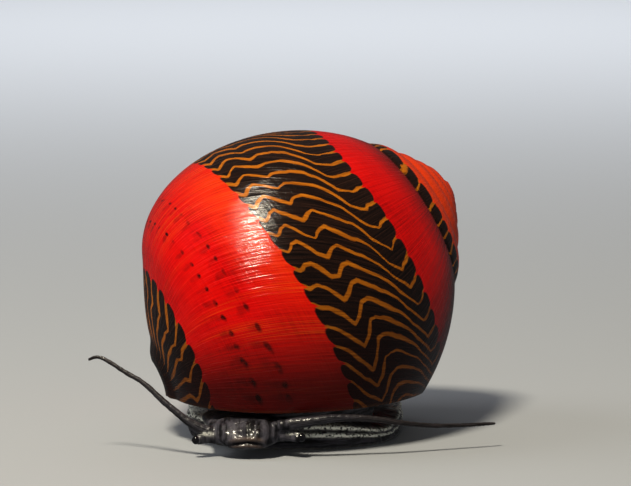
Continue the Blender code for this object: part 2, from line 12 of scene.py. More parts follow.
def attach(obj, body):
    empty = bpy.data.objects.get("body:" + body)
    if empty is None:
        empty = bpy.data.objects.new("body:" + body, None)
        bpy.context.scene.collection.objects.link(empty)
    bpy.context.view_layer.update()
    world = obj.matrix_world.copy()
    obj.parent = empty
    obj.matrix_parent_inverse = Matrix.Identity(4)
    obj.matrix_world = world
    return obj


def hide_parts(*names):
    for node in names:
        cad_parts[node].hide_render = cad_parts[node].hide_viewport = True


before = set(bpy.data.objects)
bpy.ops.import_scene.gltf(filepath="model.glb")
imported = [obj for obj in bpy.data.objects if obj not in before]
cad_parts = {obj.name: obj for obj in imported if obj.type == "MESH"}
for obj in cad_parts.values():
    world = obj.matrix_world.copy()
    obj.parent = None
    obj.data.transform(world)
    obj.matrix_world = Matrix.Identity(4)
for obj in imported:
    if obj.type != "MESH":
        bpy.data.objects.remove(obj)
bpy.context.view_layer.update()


# Shell
# One coiled piece of lime, laid down at its lip in thin growth layers under a horny skin.
# Red and black bands run along the coil, and the black ones carry orange zigzag lines that
# the mantle drew as the lip grew, so every mark is placed by growth and place on the section.

MM = 0.001
TURN = 2 * math.pi

# The coil, in millimetres and radians: an oval section that shrinks as it turns back in time
APEX = np.array((9.55, 5.67, 15.28))
AXIS_AZIMUTH = math.radians(24.1)
AXIS_RISE = math.radians(30.1)
WIDENING_RATE = 0.0531
LENGTHENING_RATE = 0.0666
SECTION_RADIUS = 2.96
SECTION_DROP = 13.51
SECTION_HALF_OUT = 8.18
SECTION_HALF_ALONG = 11.53
SECTION_TILT = math.radians(23.5)
BASE_CLOSING = math.radians(-84.0)
BASE_FULLNESS = 0.45
BASE_FULLEST = math.radians(-131.0)
BASE_FULLNESS_REACH = math.radians(10.0)
LIP_PHASE = math.radians(-59.8)
LIP_START = math.radians(-5.0)
LIP_LEVEL = 2.7
SPIRE_TURNS = 4.2
AXIS = np.array(
    (
        math.cos(AXIS_RISE) * math.cos(AXIS_AZIMUTH),
        math.cos(AXIS_RISE) * math.sin(AXIS_AZIMUTH),
        math.sin(AXIS_RISE),
    )
)
NEAR = np.array((0.0, -1.0, 0.0)) + AXIS * AXIS[1]
NEAR = NEAR / np.linalg.norm(NEAR)
UPWARD = np.cross(NEAR, AXIS)
HALVINGS = 50


def section(v):
    """Radius from the axis and place along it, on the full-grown section at angle v."""
    out = SECTION_HALF_OUT * np.cos(v)
    along = SECTION_HALF_ALONG * np.sin(v)
    radius = SECTION_RADIUS + out * np.cos(SECTION_TILT) - along * np.sin(SECTION_TILT)
    place = -SECTION_DROP + out * np.sin(SECTION_TILT) + along * np.cos(SECTION_TILT)
    return radius, place


def on_older_whorl(v):
    """Angle and relative size on the section one turn older, for the point at angle v."""
    radius, place = section(v)
    x = radius * math.exp(WIDENING_RATE * TURN) - SECTION_RADIUS
    y = place * math.exp(LENGTHENING_RATE * TURN) + SECTION_DROP
    out = (x * math.cos(SECTION_TILT) + y * math.sin(SECTION_TILT)) / SECTION_HALF_OUT
    along = (y * math.cos(SECTION_TILT) - x * math.sin(SECTION_TILT)) / SECTION_HALF_ALONG
    return math.atan2(along, out), math.hypot(out, along)


def bisect(function, low, high):
    """The root of a function that is positive at low and negative at high."""
    for _ in range(HALVINGS):
        middle = (low + high) / 2
        positive = function(middle) > 0
        low = np.where(positive, middle, low)
        high = np.where(positive, high, middle)
    return (low + high) / 2


# Where one whorl meets the next: the seam above, its place on the older whorl, and the base
SUTURE = float(bisect(lambda v: on_older_whorl(v)[1] - 1, math.radians(33), math.radians(80)))
COVER = on_older_whorl(SUTURE)[0]
BASE = float(bisect(lambda v: -section(v)[0], math.radians(-179), math.radians(-100)))


def shell_point(u, v):
    """Points of the shell: u is the angle of growth back from the lip, v the section's."""
    left = np.exp(-LENGTHENING_RATE * np.minimum(u, TURN))
    share = np.clip((BASE_CLOSING - v) / (BASE_CLOSING - BASE), 0, 1)
    closing = section(BASE)[1] * (1 - left) * share * share * (2 - share)
    fullness = np.maximum(0, 1 - ((v - BASE_FULLEST) / BASE_FULLNESS_REACH) ** 2)
    closing = closing - BASE_FULLNESS * fullness * fullness
    place = section(v)[1] * np.exp(-LENGTHENING_RATE * u) + closing
    radius = section(v)[0] * np.exp(-WIDENING_RATE * u)
    turn = (u + LIP_PHASE)[:, None]
    direction = NEAR * np.cos(turn) + UPWARD * np.sin(turn)
    return APEX + direction * radius[:, None] + AXIS * place[:, None]


def smooth_step(value, low, high):
    """A share that eases from 0 at low to 1 at high."""
    share = np.clip((value - low) / (high - low), 0, 1)
    return share * share * (3 - 2 * share)


def drift(x, y, seed):
    """Smooth noise from -1 to 1 over two coordinates, the same in every run."""
    x0 = np.floor(x)
    y0 = np.floor(y)
    fx = smooth_step(x - x0, 0, 1)
    fy = smooth_step(y - y0, 0, 1)

    def corner(i, j):
        """A scattered value at one corner of the grid, from the tail digits of a sine."""
        wave = np.sin((x0 + i) * 127.1 + (y0 + j) * 311.7 + seed * 74.7) * 43758.5453
        return (wave - np.floor(wave)) * 2 - 1

    low = corner(0, 0) * (1 - fx) + corner(1, 0) * fx
    high = corner(0, 1) * (1 - fx) + corner(1, 1) * fx
    return low * (1 - fy) + high * fy


GUIDE_STEP = math.radians(1.5)
GUIDE_ROWS = 110
GUIDE_SPIRE_ROWS = 12
GUIDE_BASE_GAP = 0.002


def guide_surface():
    """A triangle mesh of the exposed spiral, with growth and section angle of each corner."""
    places = []
    faces = []
    whole_turn = LIP_START + TURN
    spans = (
        (LIP_START, whole_turn, BASE + GUIDE_BASE_GAP, SUTURE, GUIDE_ROWS),
        (whole_turn, LIP_START + TURN * (1 + SPIRE_TURNS), COVER, SUTURE, GUIDE_SPIRE_ROWS),
    )
    for first, last, low, high, rows in spans:
        columns = round((last - first) / GUIDE_STEP)
        u, v = np.meshgrid(
            np.linspace(first, last, columns + 1),
            np.linspace(low, high, rows + 1),
            indexing="ij",
        )
        start = sum(len(place) for place in places)
        places.append(np.stack((u.ravel(), v.ravel()), 1))
        corner = start + (np.arange(columns)[:, None] * (rows + 1) + np.arange(rows)).ravel()
        faces.append(np.stack((corner, corner + 1, corner + rows + 2), 1))
        faces.append(np.stack((corner, corner + rows + 2, corner + rows + 1), 1))
    return np.concatenate(places), np.concatenate(faces)


def remeshed(name, sources, voxel, smoothing):
    """Copies of meshes in millimetres, joined and remeshed into one even closed surface."""
    joined = bmesh.new()
    for mesh in sources:
        joined.from_mesh(mesh)
    mesh = bpy.data.meshes.new(name)
    joined.to_mesh(mesh)
    joined.free()
    obj = bpy.data.objects.new(name, mesh)
    bpy.context.scene.collection.objects.link(obj)
    remesh = obj.modifiers.new("even", "REMESH")
    remesh.mode = "VOXEL"
    remesh.voxel_size = voxel
    relax = obj.modifiers.new("relax", "SMOOTH")
    relax.iterations = smoothing
    bpy.context.view_layer.update()
    graph = bpy.context.evaluated_depsgraph_get()
    even = bpy.data.meshes.new_from_object(obj.evaluated_get(graph), depsgraph=graph)
    obj.modifiers.clear()
    obj.data = even
    even.name = name
    return obj


def in_millimetres(mesh):
    copy = mesh.copy()
    copy.transform(Matrix.Diagonal((1 / MM, 1 / MM, 1 / MM, 1.0)))
    return copy


def points_of(mesh):
    points = np.empty(len(mesh.vertices) * 3, np.float32)
    mesh.vertices.foreach_get("co", points)
    return points.reshape(-1, 3).astype(float)


def normals_of(mesh):
    normals = np.empty(len(mesh.vertices) * 3, np.float32)
    mesh.vertex_normals.foreach_get("vector", normals)
    return normals.reshape(-1, 3).astype(float)


def corners_of(mesh):
    """The point of each face corner, in the order that a UV map keeps."""
    corners = np.empty(len(mesh.loops), np.int32)
    mesh.loops.foreach_get("vertex_index", corners)
    return corners


def put_points(mesh, points):
    mesh.vertices.foreach_set("co", points.astype(np.float32).ravel())
    mesh.update()


def put_map(mesh, name, first, second):
    """Writes one pair of values for each face corner as a UV map."""
    layer = mesh.uv_layers.new(name=name, do_init=False)
    layer.uv.foreach_set("vector", np.stack((first, second), 1).astype(np.float32).ravel())


SHELL_VOXEL = 0.1
SHELL_SMOOTHING = 2
shell = remeshed(
    "shell_whorls", [in_millimetres(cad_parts["shell"].data)], SHELL_VOXEL, SHELL_SMOOTHING
)
guide_places, guide_faces = guide_surface()
guide_points = shell_point(guide_places[:, 0], guide_places[:, 1])
guide = BVHTree.FromPolygons(guide_points.tolist(), guide_faces.tolist())
LEAST_AREA = 1e-20


def nearest_places(points):
    """Growth and section angle of the spiral's nearest point, and the distance to it."""
    found = [guide.find_nearest(point) for point in points.tolist()]
    hit = np.array([item[0] for item in found])
    face = guide_faces[[item[2] for item in found]]
    distance = np.array([item[3] for item in found])
    a, b, c = (guide_points[face[:, i]] for i in range(3))
    normal = np.cross(b - a, c - a)
    size = np.maximum((normal * normal).sum(1), LEAST_AREA)
    beta = (np.cross(hit - a, c - a) * normal).sum(1) / size
    gamma = (np.cross(b - a, hit - a) * normal).sum(1) / size
    weights = np.stack((1 - beta - gamma, beta, gamma), 1)[:, :, None]
    return (guide_places[face] * weights).sum(1), distance


# The outside is what lies within a voxel or two of the spiral; the rest is the shell's inside
OUTSIDE_WITHIN = 0.1
INSIDE_BEYOND = 0.22
nearest, distance = nearest_places(points_of(shell.data))
coil_angle, section_angle = nearest.T
outer = 1 - smooth_step(distance, OUTSIDE_WITHIN, INSIDE_BEYOND)

# Growth lines run parallel to the lip, so growth counts from the lip's own curve
LIP_BASE_LIMIT = math.radians(-121.0)
LIP_SEARCH = (math.radians(-40), math.radians(100))
LIP_TABLE_ROWS = 400


def lip_angle(v):
    held = np.maximum(v, LIP_BASE_LIMIT)
    low, high = (np.full_like(held, limit) for limit in LIP_SEARCH)
    reached = bisect(lambda angle: LIP_LEVEL - shell_point(angle, held)[:, 2], low, high)
    return np.maximum(reached, LIP_START)


lip_table = np.linspace(BASE, SUTURE, LIP_TABLE_ROWS)
growth = np.degrees(coil_angle - np.interp(section_angle, lip_table, lip_angle(lip_table)))
place = np.degrees(section_angle)

# Relief: growth ridges a fifth of a millimetre apart, coarser than the real ones so that
# they show, and a few deeper pauses in growth. Heights are millimetres, the rest is degrees.
RIDGE_HEIGHT = 0.007
RIDGE_SPACING = 1.1
RIDGES = ((1.0, RIDGE_SPACING, 26.0, 3), (0.6, RIDGE_SPACING / 2.3, 17.0, 5))
PAUSES = (12.0, 38.0, 40.5, 67.5, 96.0, 141.0, 188.0, 236.0, 301.0)
PAUSE_WIDTH = 0.7
PAUSE_DEPTH = 0.01
PAUSE_WANDER = 0.8
PAUSE_WANDER_LENGTH = 30.0
SUTURE_DEPTH = 0.12
SUTURE_WIDTH = 1.3
SPIRE_BEGINS = (330.0, 350.0)
WHORL_ROUNDNESS = 0.22
RELIEF_FULL_FROM = 6.0
LIP_SAG = 0.06
relief = np.zeros(len(growth))
for ridge_share, ridge_spacing, ridge_length, seed in RIDGES:
    ridges = drift(growth / ridge_spacing, place / ridge_length, seed)
    relief += RIDGE_HEIGHT * ridge_share * ridges
for pause in PAUSES:
    wander = PAUSE_WANDER * drift(place / PAUSE_WANDER_LENGTH, np.full_like(place, pause), 7)
    relief -= PAUSE_DEPTH * np.exp(-(((growth - pause - wander) / PAUSE_WIDTH) ** 2))

seam = np.exp(-(((place - math.degrees(SUTURE)) / SUTURE_WIDTH) ** 2))
rise = np.clip((section_angle - COVER) / (SUTURE - COVER), 0, 1)
on_spire = smooth_step(growth, *SPIRE_BEGINS)
whorl_size = np.exp(-WIDENING_RATE * coil_angle)
relief -= SUTURE_DEPTH * seam * whorl_size * (1 - on_spire)
relief += WHORL_ROUNDNESS * np.sin(math.pi * rise) * whorl_size * on_spire
relief *= np.clip(section(section_angle)[0] / RELIEF_FULL_FROM, 0, 1)

shell_points = points_of(shell.data)
on_spiral = shell_point(coil_angle, section_angle)
put_points(shell.data, shell_points + (on_spiral - shell_points) * outer[:, None])
shell_points = points_of(shell.data)
shell_points += normals_of(shell.data) * (relief * outer)[:, None]
shell_points[:, 2] = np.maximum(shell_points[:, 2], LIP_LEVEL - LIP_SAG)
put_points(shell.data, shell_points * MM)

# Bands at fixed places on the section, in degrees: the black band with its red neighbours.
# Its right edge steps outwards as the shell gets older.
BAND_LEFT = -33.9
BAND_RIGHT = 10.2
BAND_RIGHT_STEP = 3.0
BAND_RIGHT_STEP_AGES = (92, 135)
BAND_RIGHT_OLD = 28.0
BAND_RIGHT_OLD_AGES = (150, 330)
BASAL_EDGE = -91.5
BASAL_WIDTH = 50.0
OLD_LINES_FROM = 320.0
OLD_LINES_SLOWING = 0.5
OLD_LINES_FLATTENING = 0.75
FLATTENING_FROM = 200

# Heights of one orange line across the band, in line spacings, at three ages of the shell
LINE_SPACING = 6.8
LINE_AGES = (25.0, 60.0, 97.0)
LINE_NEWEST = 1.3
LINE_KNOTS = (
    (0.00, 0.00, 0.00, 0.00),
    (0.05, -0.10, -0.15, -0.37),
    (0.11, -0.30, 0.40, 0.15),
    (0.16, -0.57, 0.50, 0.50),
    (0.25, -1.05, -0.10, 0.27),
    (0.31, -0.60, -0.20, 0.05),
    (0.38, 0.30, 0.35, 0.50),
    (0.43, 0.60, 0.55, 0.65),
    (0.50, 0.72, 0.30, 0.76),
    (0.60, 0.55, 0.18, 0.80),
    (0.70, 0.42, 0.08, 0.45),
    (0.76, -0.35, -0.70, -0.15),
    (0.85, -1.90, -1.40, -0.22),
    (0.91, -2.00, -1.15, -0.20),
    (1.00, -1.85, -0.95, -0.15),
)
LINE_STEPS = 400
CRISP_REACH = 3
SOFT_REACH = 18
SMOOTHING_SPAN = 60
SLOPE_BEGINS = (0.42, 0.56)
SLOPE_ENDS = (0.8, 0.87)


def line_curve(share, column):
    """One age's zigzag: crisp kinks at the left and at the right notch, a soft slope between."""
    knots = np.array(LINE_KNOTS)
    places = np.linspace(0, 1, LINE_STEPS + 1)
    straight = np.interp(places, knots[:, 0], knots[:, column])
    padded = np.pad(straight, SMOOTHING_SPAN, "edge")
    offsets = np.arange(-SMOOTHING_SPAN, SMOOTHING_SPAN + 1)
    curves = []
    for reach in (CRISP_REACH, SOFT_REACH):
        softness = np.exp(-((offsets / reach) ** 2))
        curves.append(np.convolve(padded, softness / softness.sum(), "valid"))
    crisp, soft = curves
    blend = smooth_step(places, *SLOPE_BEGINS) * (1 - smooth_step(places, *SLOPE_ENDS))
    return np.interp(share, places, crisp + (soft - crisp) * blend)


def line_height(share, growth):
    """Height of the zigzag at a share of the band's width, for the age of the shell there."""
    late, middle, early = (line_curve(share, column) for column in (1, 2, 3))
    newer = np.clip((LINE_AGES[1] - growth) / (LINE_AGES[1] - LINE_AGES[0]), 0, LINE_NEWEST)
    older = np.clip((growth - LINE_AGES[1]) / (LINE_AGES[2] - LINE_AGES[1]), 0, 1)
    return middle + (late - middle) * newer + (early - middle) * older


band_right = BAND_RIGHT + BAND_RIGHT_STEP * smooth_step(growth, *BAND_RIGHT_STEP_AGES)
stepped_right = BAND_RIGHT + BAND_RIGHT_STEP
band_right += (BAND_RIGHT_OLD - stepped_right) * smooth_step(growth, *BAND_RIGHT_OLD_AGES)
share = (place - BAND_LEFT) / (band_right - BAND_LEFT)
slowed = growth - OLD_LINES_SLOWING * np.maximum(0, growth - OLD_LINES_FROM)
flatness = 1 - OLD_LINES_FLATTENING * smooth_step(growth, FLATTENING_FROM, OLD_LINES_FROM)
phase = slowed / LINE_SPACING - line_height(share, growth) * flatness

# No two lines are alike. They wobble, more so on the side that the front hides, and swell.
# Each kind has its height, waves in the band's width, degrees of growth to a wave and seed.
LINE_WOBBLES = ((0.10, 9, 14, 11), (0.05, 26, 5, 13))
REAR_WOBBLES = ((0.8, 3.5, 30, 17),)
REAR_AGES = (120, 175)
LINE_SWELLS = ((0.45, 7, 7, 23), (0.2, 19, 3, 29))


def wavering(kinds):
    """Smooth unevenness over the band, as the sum of its kinds."""
    return sum(
        height * drift(share * waves, growth / length, seed)
        for height, waves, length, seed in kinds
    )


phase += wavering(LINE_WOBBLES)
phase += smooth_step(growth, *REAR_AGES) * wavering(REAR_WOBBLES)

# Basal band: fewer, wider spaced lines that run down to the shell's foot
BASAL_SPACING = 12.4
BASAL_START = 0.37
BASAL_WOBBLE = 0.22
BASAL_KNOTS = (
    (0.0, 0.0),
    (0.1, -0.35),
    (0.2, -0.8),
    (0.27, -0.62),
    (0.5, -1.05),
    (0.7, -1.4),
    (1.0, -2.1),
)
basal_share = (BASAL_EDGE - place) / BASAL_WIDTH
basal_shares, basal_heights = np.array(BASAL_KNOTS).T
basal_phase = growth / BASAL_SPACING - np.interp(basal_share, basal_shares, basal_heights)
basal_phase += BASAL_WOBBLE * drift(basal_share * 7, growth / 16, 19) + BASAL_START
in_base = place < (BASAL_EDGE + BAND_LEFT) / 2
phase = np.where(in_base, basal_phase, phase)

# Where the phase changes faster than this, it jumps at the seam and isn't a slope
MOST_STEEPNESS = 8
LEAST_EDGE = 1e-6


def phase_steepness(mesh, values):
    """How fast the phase changes over the surface, in lines for each millimetre."""
    ends = np.empty(len(mesh.edges) * 2, np.int32)
    mesh.edges.foreach_get("vertices", ends)
    first, second = ends.reshape(-1, 2).T
    points = points_of(mesh) / MM
    length = np.maximum(np.linalg.norm(points[first] - points[second], axis=1), LEAST_EDGE)
    slope = np.abs(values[first] - values[second]) / length
    slope = np.where(slope > MOST_STEEPNESS, 0, slope) ** 2
    total = np.zeros(len(values))
    count = np.zeros(len(values))
    for end in (first, second):
        np.add.at(total, end, slope)
        np.add.at(count, end, 1)
    return np.sqrt(2 * total / np.maximum(count, 1))


# Width of the orange lines: millimetres, turned into line spacings by the phase's steepness
LINE_HALF_WIDTH = 0.12
BASAL_WIDER = 1.1
STEEP_THINNER = 0.3
STEEP_BEGINS = (0.5, 0.76)
STEEP_ENDS = (0.84, 0.9)
OLD_THINNER = 0.1
OLD_THINNER_AGES = (330, 380)
LEAST_AND_MOST_WIDTH = (0.03, 0.42)
BASAL_LINES_END = (0.5, 0.64)
NO_LINE = 0.002
steep_part = smooth_step(share, *STEEP_BEGINS) * (1 - smooth_step(share, *STEEP_ENDS))
half_width = LINE_HALF_WIDTH * np.where(in_base, BASAL_WIDER, 1 - STEEP_THINNER * steep_part)
half_width *= 1 + wavering(LINE_SWELLS)
half_width *= 1 - OLD_THINNER * smooth_step(growth, *OLD_THINNER_AGES)
half_width = np.clip(half_width * phase_steepness(shell.data, phase), *LEAST_AND_MOST_WIDTH)
half_width *= np.where(in_base, 1 - smooth_step(basal_share, *BASAL_LINES_END), 1)
half_width = np.maximum(half_width, NO_LINE)

# A face that bridges the seam takes the older whorl's marks whole, or they would smear there.
# The oldest whorls are red all over: there the black band's right edge lies on its left one.
SEAM_JUMP = 60
OLDEST_BLACK = 560
corners = corners_of(shell.data).reshape(-1, 4)
bridging = np.ptp(growth[corners], axis=1) > SEAM_JUMP
oldest = corners[np.arange(len(corners)), np.argmax(growth[corners], 1)]
chosen = np.where(bridging[:, None], oldest[:, None], corners).ravel()
band_end = np.where(growth > OLDEST_BLACK, BAND_LEFT, band_right)
put_map(shell.data, "growth", growth[chosen], place[chosen])
put_map(shell.data, "lines", phase[chosen], half_width[chosen])
put_map(shell.data, "depth", distance[chosen], band_end[chosen])


def linear(code):
    """An sRGB hex colour as linear red, green, blue and alpha."""
    channels = [int(code[i : i + 2], 16) / 255 for i in (1, 3, 5)]
    made = [c / 12.92 if c <= 0.04045 else ((c + 0.055) / 1.055) ** 2.4 for c in channels]
    return (*made, 1.0)


def add(tree, kind, sockets=None, stops=(), **settings):
    """Adds a node with its settings; a socket takes a value, an output or a node's first output.

    The stops of a colour ramp are places with hex colours, in rising order.
    """
    node = tree.nodes.new(kind)
    for key, value in settings.items():
        setattr(node, key, value)
    for key, value in (sockets or {}).items():
        if isinstance(value, bpy.types.Node):
            value = value.outputs[0]
        if isinstance(value, bpy.types.NodeSocket):
            tree.links.new(value, node.inputs[key])
        else:
            node.inputs[key].default_value = value
    for i, (position, code) in enumerate(stops):
        if 0 < i < len(stops) - 1:
            node.color_ramp.elements.new(position)
        node.color_ramp.elements[i].position = position
        node.color_ramp.elements[i].color = linear(code)
    return node


def new_material(name):
    made = bpy.data.materials.new(name)
    made.use_nodes = True
    made.node_tree.nodes.clear()
    return made, made.node_tree


# The sockets of a colour mix: how much of the upper colour covers the lower one
COVERED, LOWER, UPPER = 0, 6, 7
MIXED = 2

# A degree of growth and a degree of the section on the widest whorl, in millimetres
GROWN_DEGREE = 0.17
ACROSS_DEGREE = 0.2

# Patterns by their size along growth and across the bands, in millimetres, with detail and
# roughness. Threads, streaks and ridges are drawn coarser than the real ones, so they show.
SHELL_PATTERNS = {
    "streaks": (0.12143, 4.4444, 4.0, 0.65),
    "turning_lines": (3.4, 0.125, 2.0, 0.5),
    "clouds": (3.4, 4.0, 3.0, 0.5),
    "threads": (0.05, 10.0, 1.0, 0.5),
    "bundles": (1.3077, 16.667, 1.0, 0.5),
    "patches": (1.0625, 1.6667, 3.0, 0.6),
    "ridges": (0.113333, 8.0, 2.0, 0.6),
}

# Dashes in the red: rows by place across and darkness, each dash with a paler smudge beside
DASH_ROWS = ((-67.5, 0.95), (-56.0, 0.75))
DASH_HALF_LENGTH = 0.22
DASH_HALF_WIDTH = 1.0
SMUDGE_BESIDE = 2.4
SMUDGE_HALF_WIDTH = 3.0
SMUDGE_DARKNESS = 0.4
ROW_WANDER = 3.0
DASH_WANDER = 1.6
DASH_FADES = (0.2, 1.2)

# Edges of the black bands, in degrees: set off, bulging between the orange lines, and blurred
LEFT_SET_OFF = -0.4
BASAL_SET_OFF = 0.6
RIGHT_BULGE = -2.1
BASAL_BULGE = -3.0
BAND_EDGE_BLUR = 0.25


def shell_material():
    """Glossy lime shell under a thin horny skin: clear wet shine over fine growth ridges."""
    made, tree = new_material("glazed_shell_lime")
    growth_map = add(tree, "ShaderNodeUVMap", uv_map="growth")
    lines_map = add(tree, "ShaderNodeUVMap", uv_map="lines")
    depth_map = add(tree, "ShaderNodeUVMap", uv_map="depth")
    grown, across = add(tree, "ShaderNodeSeparateXYZ", {0: growth_map}).outputs[:2]
    line_count, line_width = add(tree, "ShaderNodeSeparateXYZ", {0: lines_map}).outputs[:2]
    depth, band_end = add(tree, "ShaderNodeSeparateXYZ", {0: depth_map}).outputs[:2]

    patterns = {}
    for name, (along, wide, detail, roughness) in SHELL_PATTERNS.items():
        scale = (GROWN_DEGREE / along, ACROSS_DEGREE / wide, 1.0)
        placed = add(tree, "ShaderNodeMapping", {"Vector": growth_map, "Scale": scale})
        patterns[name] = add(
            tree,
            "ShaderNodeTexNoise",
            {"Vector": placed, "Scale": 1.0, "Detail": detail, "Roughness": roughness},
            noise_dimensions="2D",
        )
    streaks = patterns["streaks"]
    clouds = patterns["clouds"]

    # How much of each tint shows: a product of fades, each along something, from one place to
    # another, with its share at both
    fades = {
        # Partly the shell's own orange, partly painted sheen round the highlight
        "orange_and_painted_sheen": (
            (across, -54.0, -38.0, 0.0, 0.45),
            (grown, 42.0, 58.0, 0.2, 1.0),
            (grown, 80.0, 110.0, 1.0, 0.4),
            (streaks, 0.35, 0.65, 0.5, 1.6),
            (across, -34.0, -32.0, 1.0, 0.0),
        ),
        "on_spire": ((grown, 325.0, 340.0, 0.0, 0.85),),
        "threads": (
            (patterns["threads"], 0.55, 0.68, 0.0, 0.45),
            (patterns["bundles"], 0.48, 0.62, 0.0, 1.0),
            (across, -34.0, -32.0, 1.0, 0.0),
            (across, -80.0, -60.0, 0.35, 1.0),
        ),
        "uneven": ((patterns["patches"], 0.36, 0.58, 0.35, 1.15),),
        "dash_shrinking": ((grown, 20.0, 80.0, 0.4, 1.3),),
        "left_bulge": ((grown, 42.0, 68.0, 2.4, 1.3),),
        # Painted shade on the band's newest growth, low on the shell
        "band_painted_shade": ((grown, 30.0, 80.0, 0.35, 0.0),),
        # Painted shade: darker towards the seam with the older whorl
        "painted_seam_shade": ((across, 24.0, 39.0, 0.0, 0.85), (grown, 325.0, 340.0, 1.0, 0.0)),
        "lip_rim": ((grown, 0.3, 1.3, 0.3, 0.0),),
        "inside": ((depth, 0.12, 0.9, 0.0, 1.0),),
        "callus": ((depth, 0.3, 1.3, 0.0, 1.0),),
        "roughness": ((streaks, 0.3, 0.7, 0.16, 0.3),),
    }
    shares = {}
    for name, steps in fades.items():
        product = 1.0
        for source, start, end, low, high in steps:
            fade = add(tree, "ShaderNodeMapRange", {0: source, 1: start, 2: end, 3: low, 4: high})
            product = add(tree, "ShaderNodeMath", {0: product, 1: fade}, operation="MULTIPLY")
        shares[name] = product

    # Two rows of short dark dashes in the red, one dash to each orange line
    dash_along = add(
        tree, "ShaderNodeMath", {0: grown, 1: 1 / LINE_SPACING}, operation="MULTIPLY"
    )
    dash_along = add(
        tree,
        "ShaderNodeMath",
        {0: clouds, 1: DASH_WANDER, 2: dash_along},
        operation="MULTIPLY_ADD",
    )
    for operation, operand in (
        ("FRACT", 0.0),
        ("SUBTRACT", 0.5),
        ("MULTIPLY", 1 / DASH_HALF_LENGTH),
        ("POWER", 2.0),
    ):
        dash_along = add(tree, "ShaderNodeMath", {0: dash_along, 1: operand}, operation=operation)
    dashes = 0.0
    for row, darkness in DASH_ROWS:
        centre = {0: clouds, 1: ROW_WANDER, 2: row - ROW_WANDER / 2}
        centre = add(tree, "ShaderNodeMath", centre, operation="MULTIPLY_ADD")
        from_row = add(tree, "ShaderNodeMath", {0: across, 1: centre}, operation="SUBTRACT")
        beside = add(tree, "ShaderNodeMath", {0: from_row, 1: SMUDGE_BESIDE}, operation="ADD")
        for off, reach, darkest in (
            (from_row, DASH_HALF_WIDTH, darkness),
            (beside, SMUDGE_HALF_WIDTH, SMUDGE_DARKNESS * darkness),
        ):
            for operation, operand in (
                ("MULTIPLY", 1 / reach),
                ("POWER", 2.0),
                ("ADD", dash_along),
                ("MULTIPLY", shares["dash_shrinking"]),
            ):
                off = add(tree, "ShaderNodeMath", {0: off, 1: operand}, operation=operation)
            mark = {0: off, 1: DASH_FADES[0], 2: DASH_FADES[1], 3: darkest, 4: 0.0}
            mark = add(tree, "ShaderNodeMapRange", mark)
            dashes = add(tree, "ShaderNodeMath", {0: dashes, 1: mark}, operation="MAXIMUM")
    dashes = add(
        tree,
        "ShaderNodeMath",
        {0: dashes, 1: shares["uneven"]},
        operation="MULTIPLY",
        use_clamp=True,
    )

    # Red: deep to orange red, streaked, warmer on the spire and beside the band, where it is partly
    # the shell's own orange and partly painted sheen round the key light's highlight, with threads
    # of orange in bundles where growth slowed down
    tone = 0.05
    for name, strength in (("streaks", 0.6), ("clouds", 0.4), ("turning_lines", 0.25)):
        tone = {0: patterns[name], 1: strength, 2: tone}
        tone = add(tree, "ShaderNodeMath", tone, operation="MULTIPLY_ADD")
    warmth_and_sheen = {0: shares["orange_and_painted_sheen"], 1: shares["on_spire"]}
    warmth_and_sheen = add(tree, "ShaderNodeMath", warmth_and_sheen, operation="MAXIMUM")
    red = add(
        tree,
        "ShaderNodeValToRGB",
        {0: tone},
        stops=((0.38, "#860201"), (0.62, "#CE0301"), (0.95, "#EC0C02")),
    )
    for covered, tint in (
        (warmth_and_sheen, "#F0420A"),
        (shares["threads"], "#F05A10"),
        (dashes, "#2A0503"),
    ):
        layer = {COVERED: covered, LOWER: red, UPPER: linear(tint)}
        red = add(tree, "ShaderNodeMix", layer, data_type="RGBA").outputs[MIXED]

    # Black with brown streaks, and orange zigzag lines with a soft edge, darkened on the newest
    # growth low on the shell as painted shade
    from_line = line_count
    for operation, operand in (("FRACT", 0.0), ("SUBTRACT", 0.5), ("ABSOLUTE", 0.0)):
        from_line = add(tree, "ShaderNodeMath", {0: from_line, 1: operand}, operation=operation)
    in_widths = add(tree, "ShaderNodeMath", {0: from_line, 1: line_width}, operation="DIVIDE")
    on_line = add(tree, "ShaderNodeMapRange", {0: in_widths, 1: 0.7, 2: 1.2, 3: 1.0, 4: 0.0})
    black = add(
        tree, "ShaderNodeValToRGB", {0: streaks}, stops=((0.35, "#0B0605"), (0.73, "#2E1A12"))
    )
    orange = add(
        tree, "ShaderNodeValToRGB", {0: streaks}, stops=((0.3, "#944C08"), (0.7, "#CC7412"))
    )
    banded = black
    for covered, tint in ((on_line, orange), (shares["band_painted_shade"], linear("#050202"))):
        layer = {COVERED: covered, LOWER: banded, UPPER: tint}
        banded = add(tree, "ShaderNodeMix", layer, data_type="RGBA").outputs[MIXED]

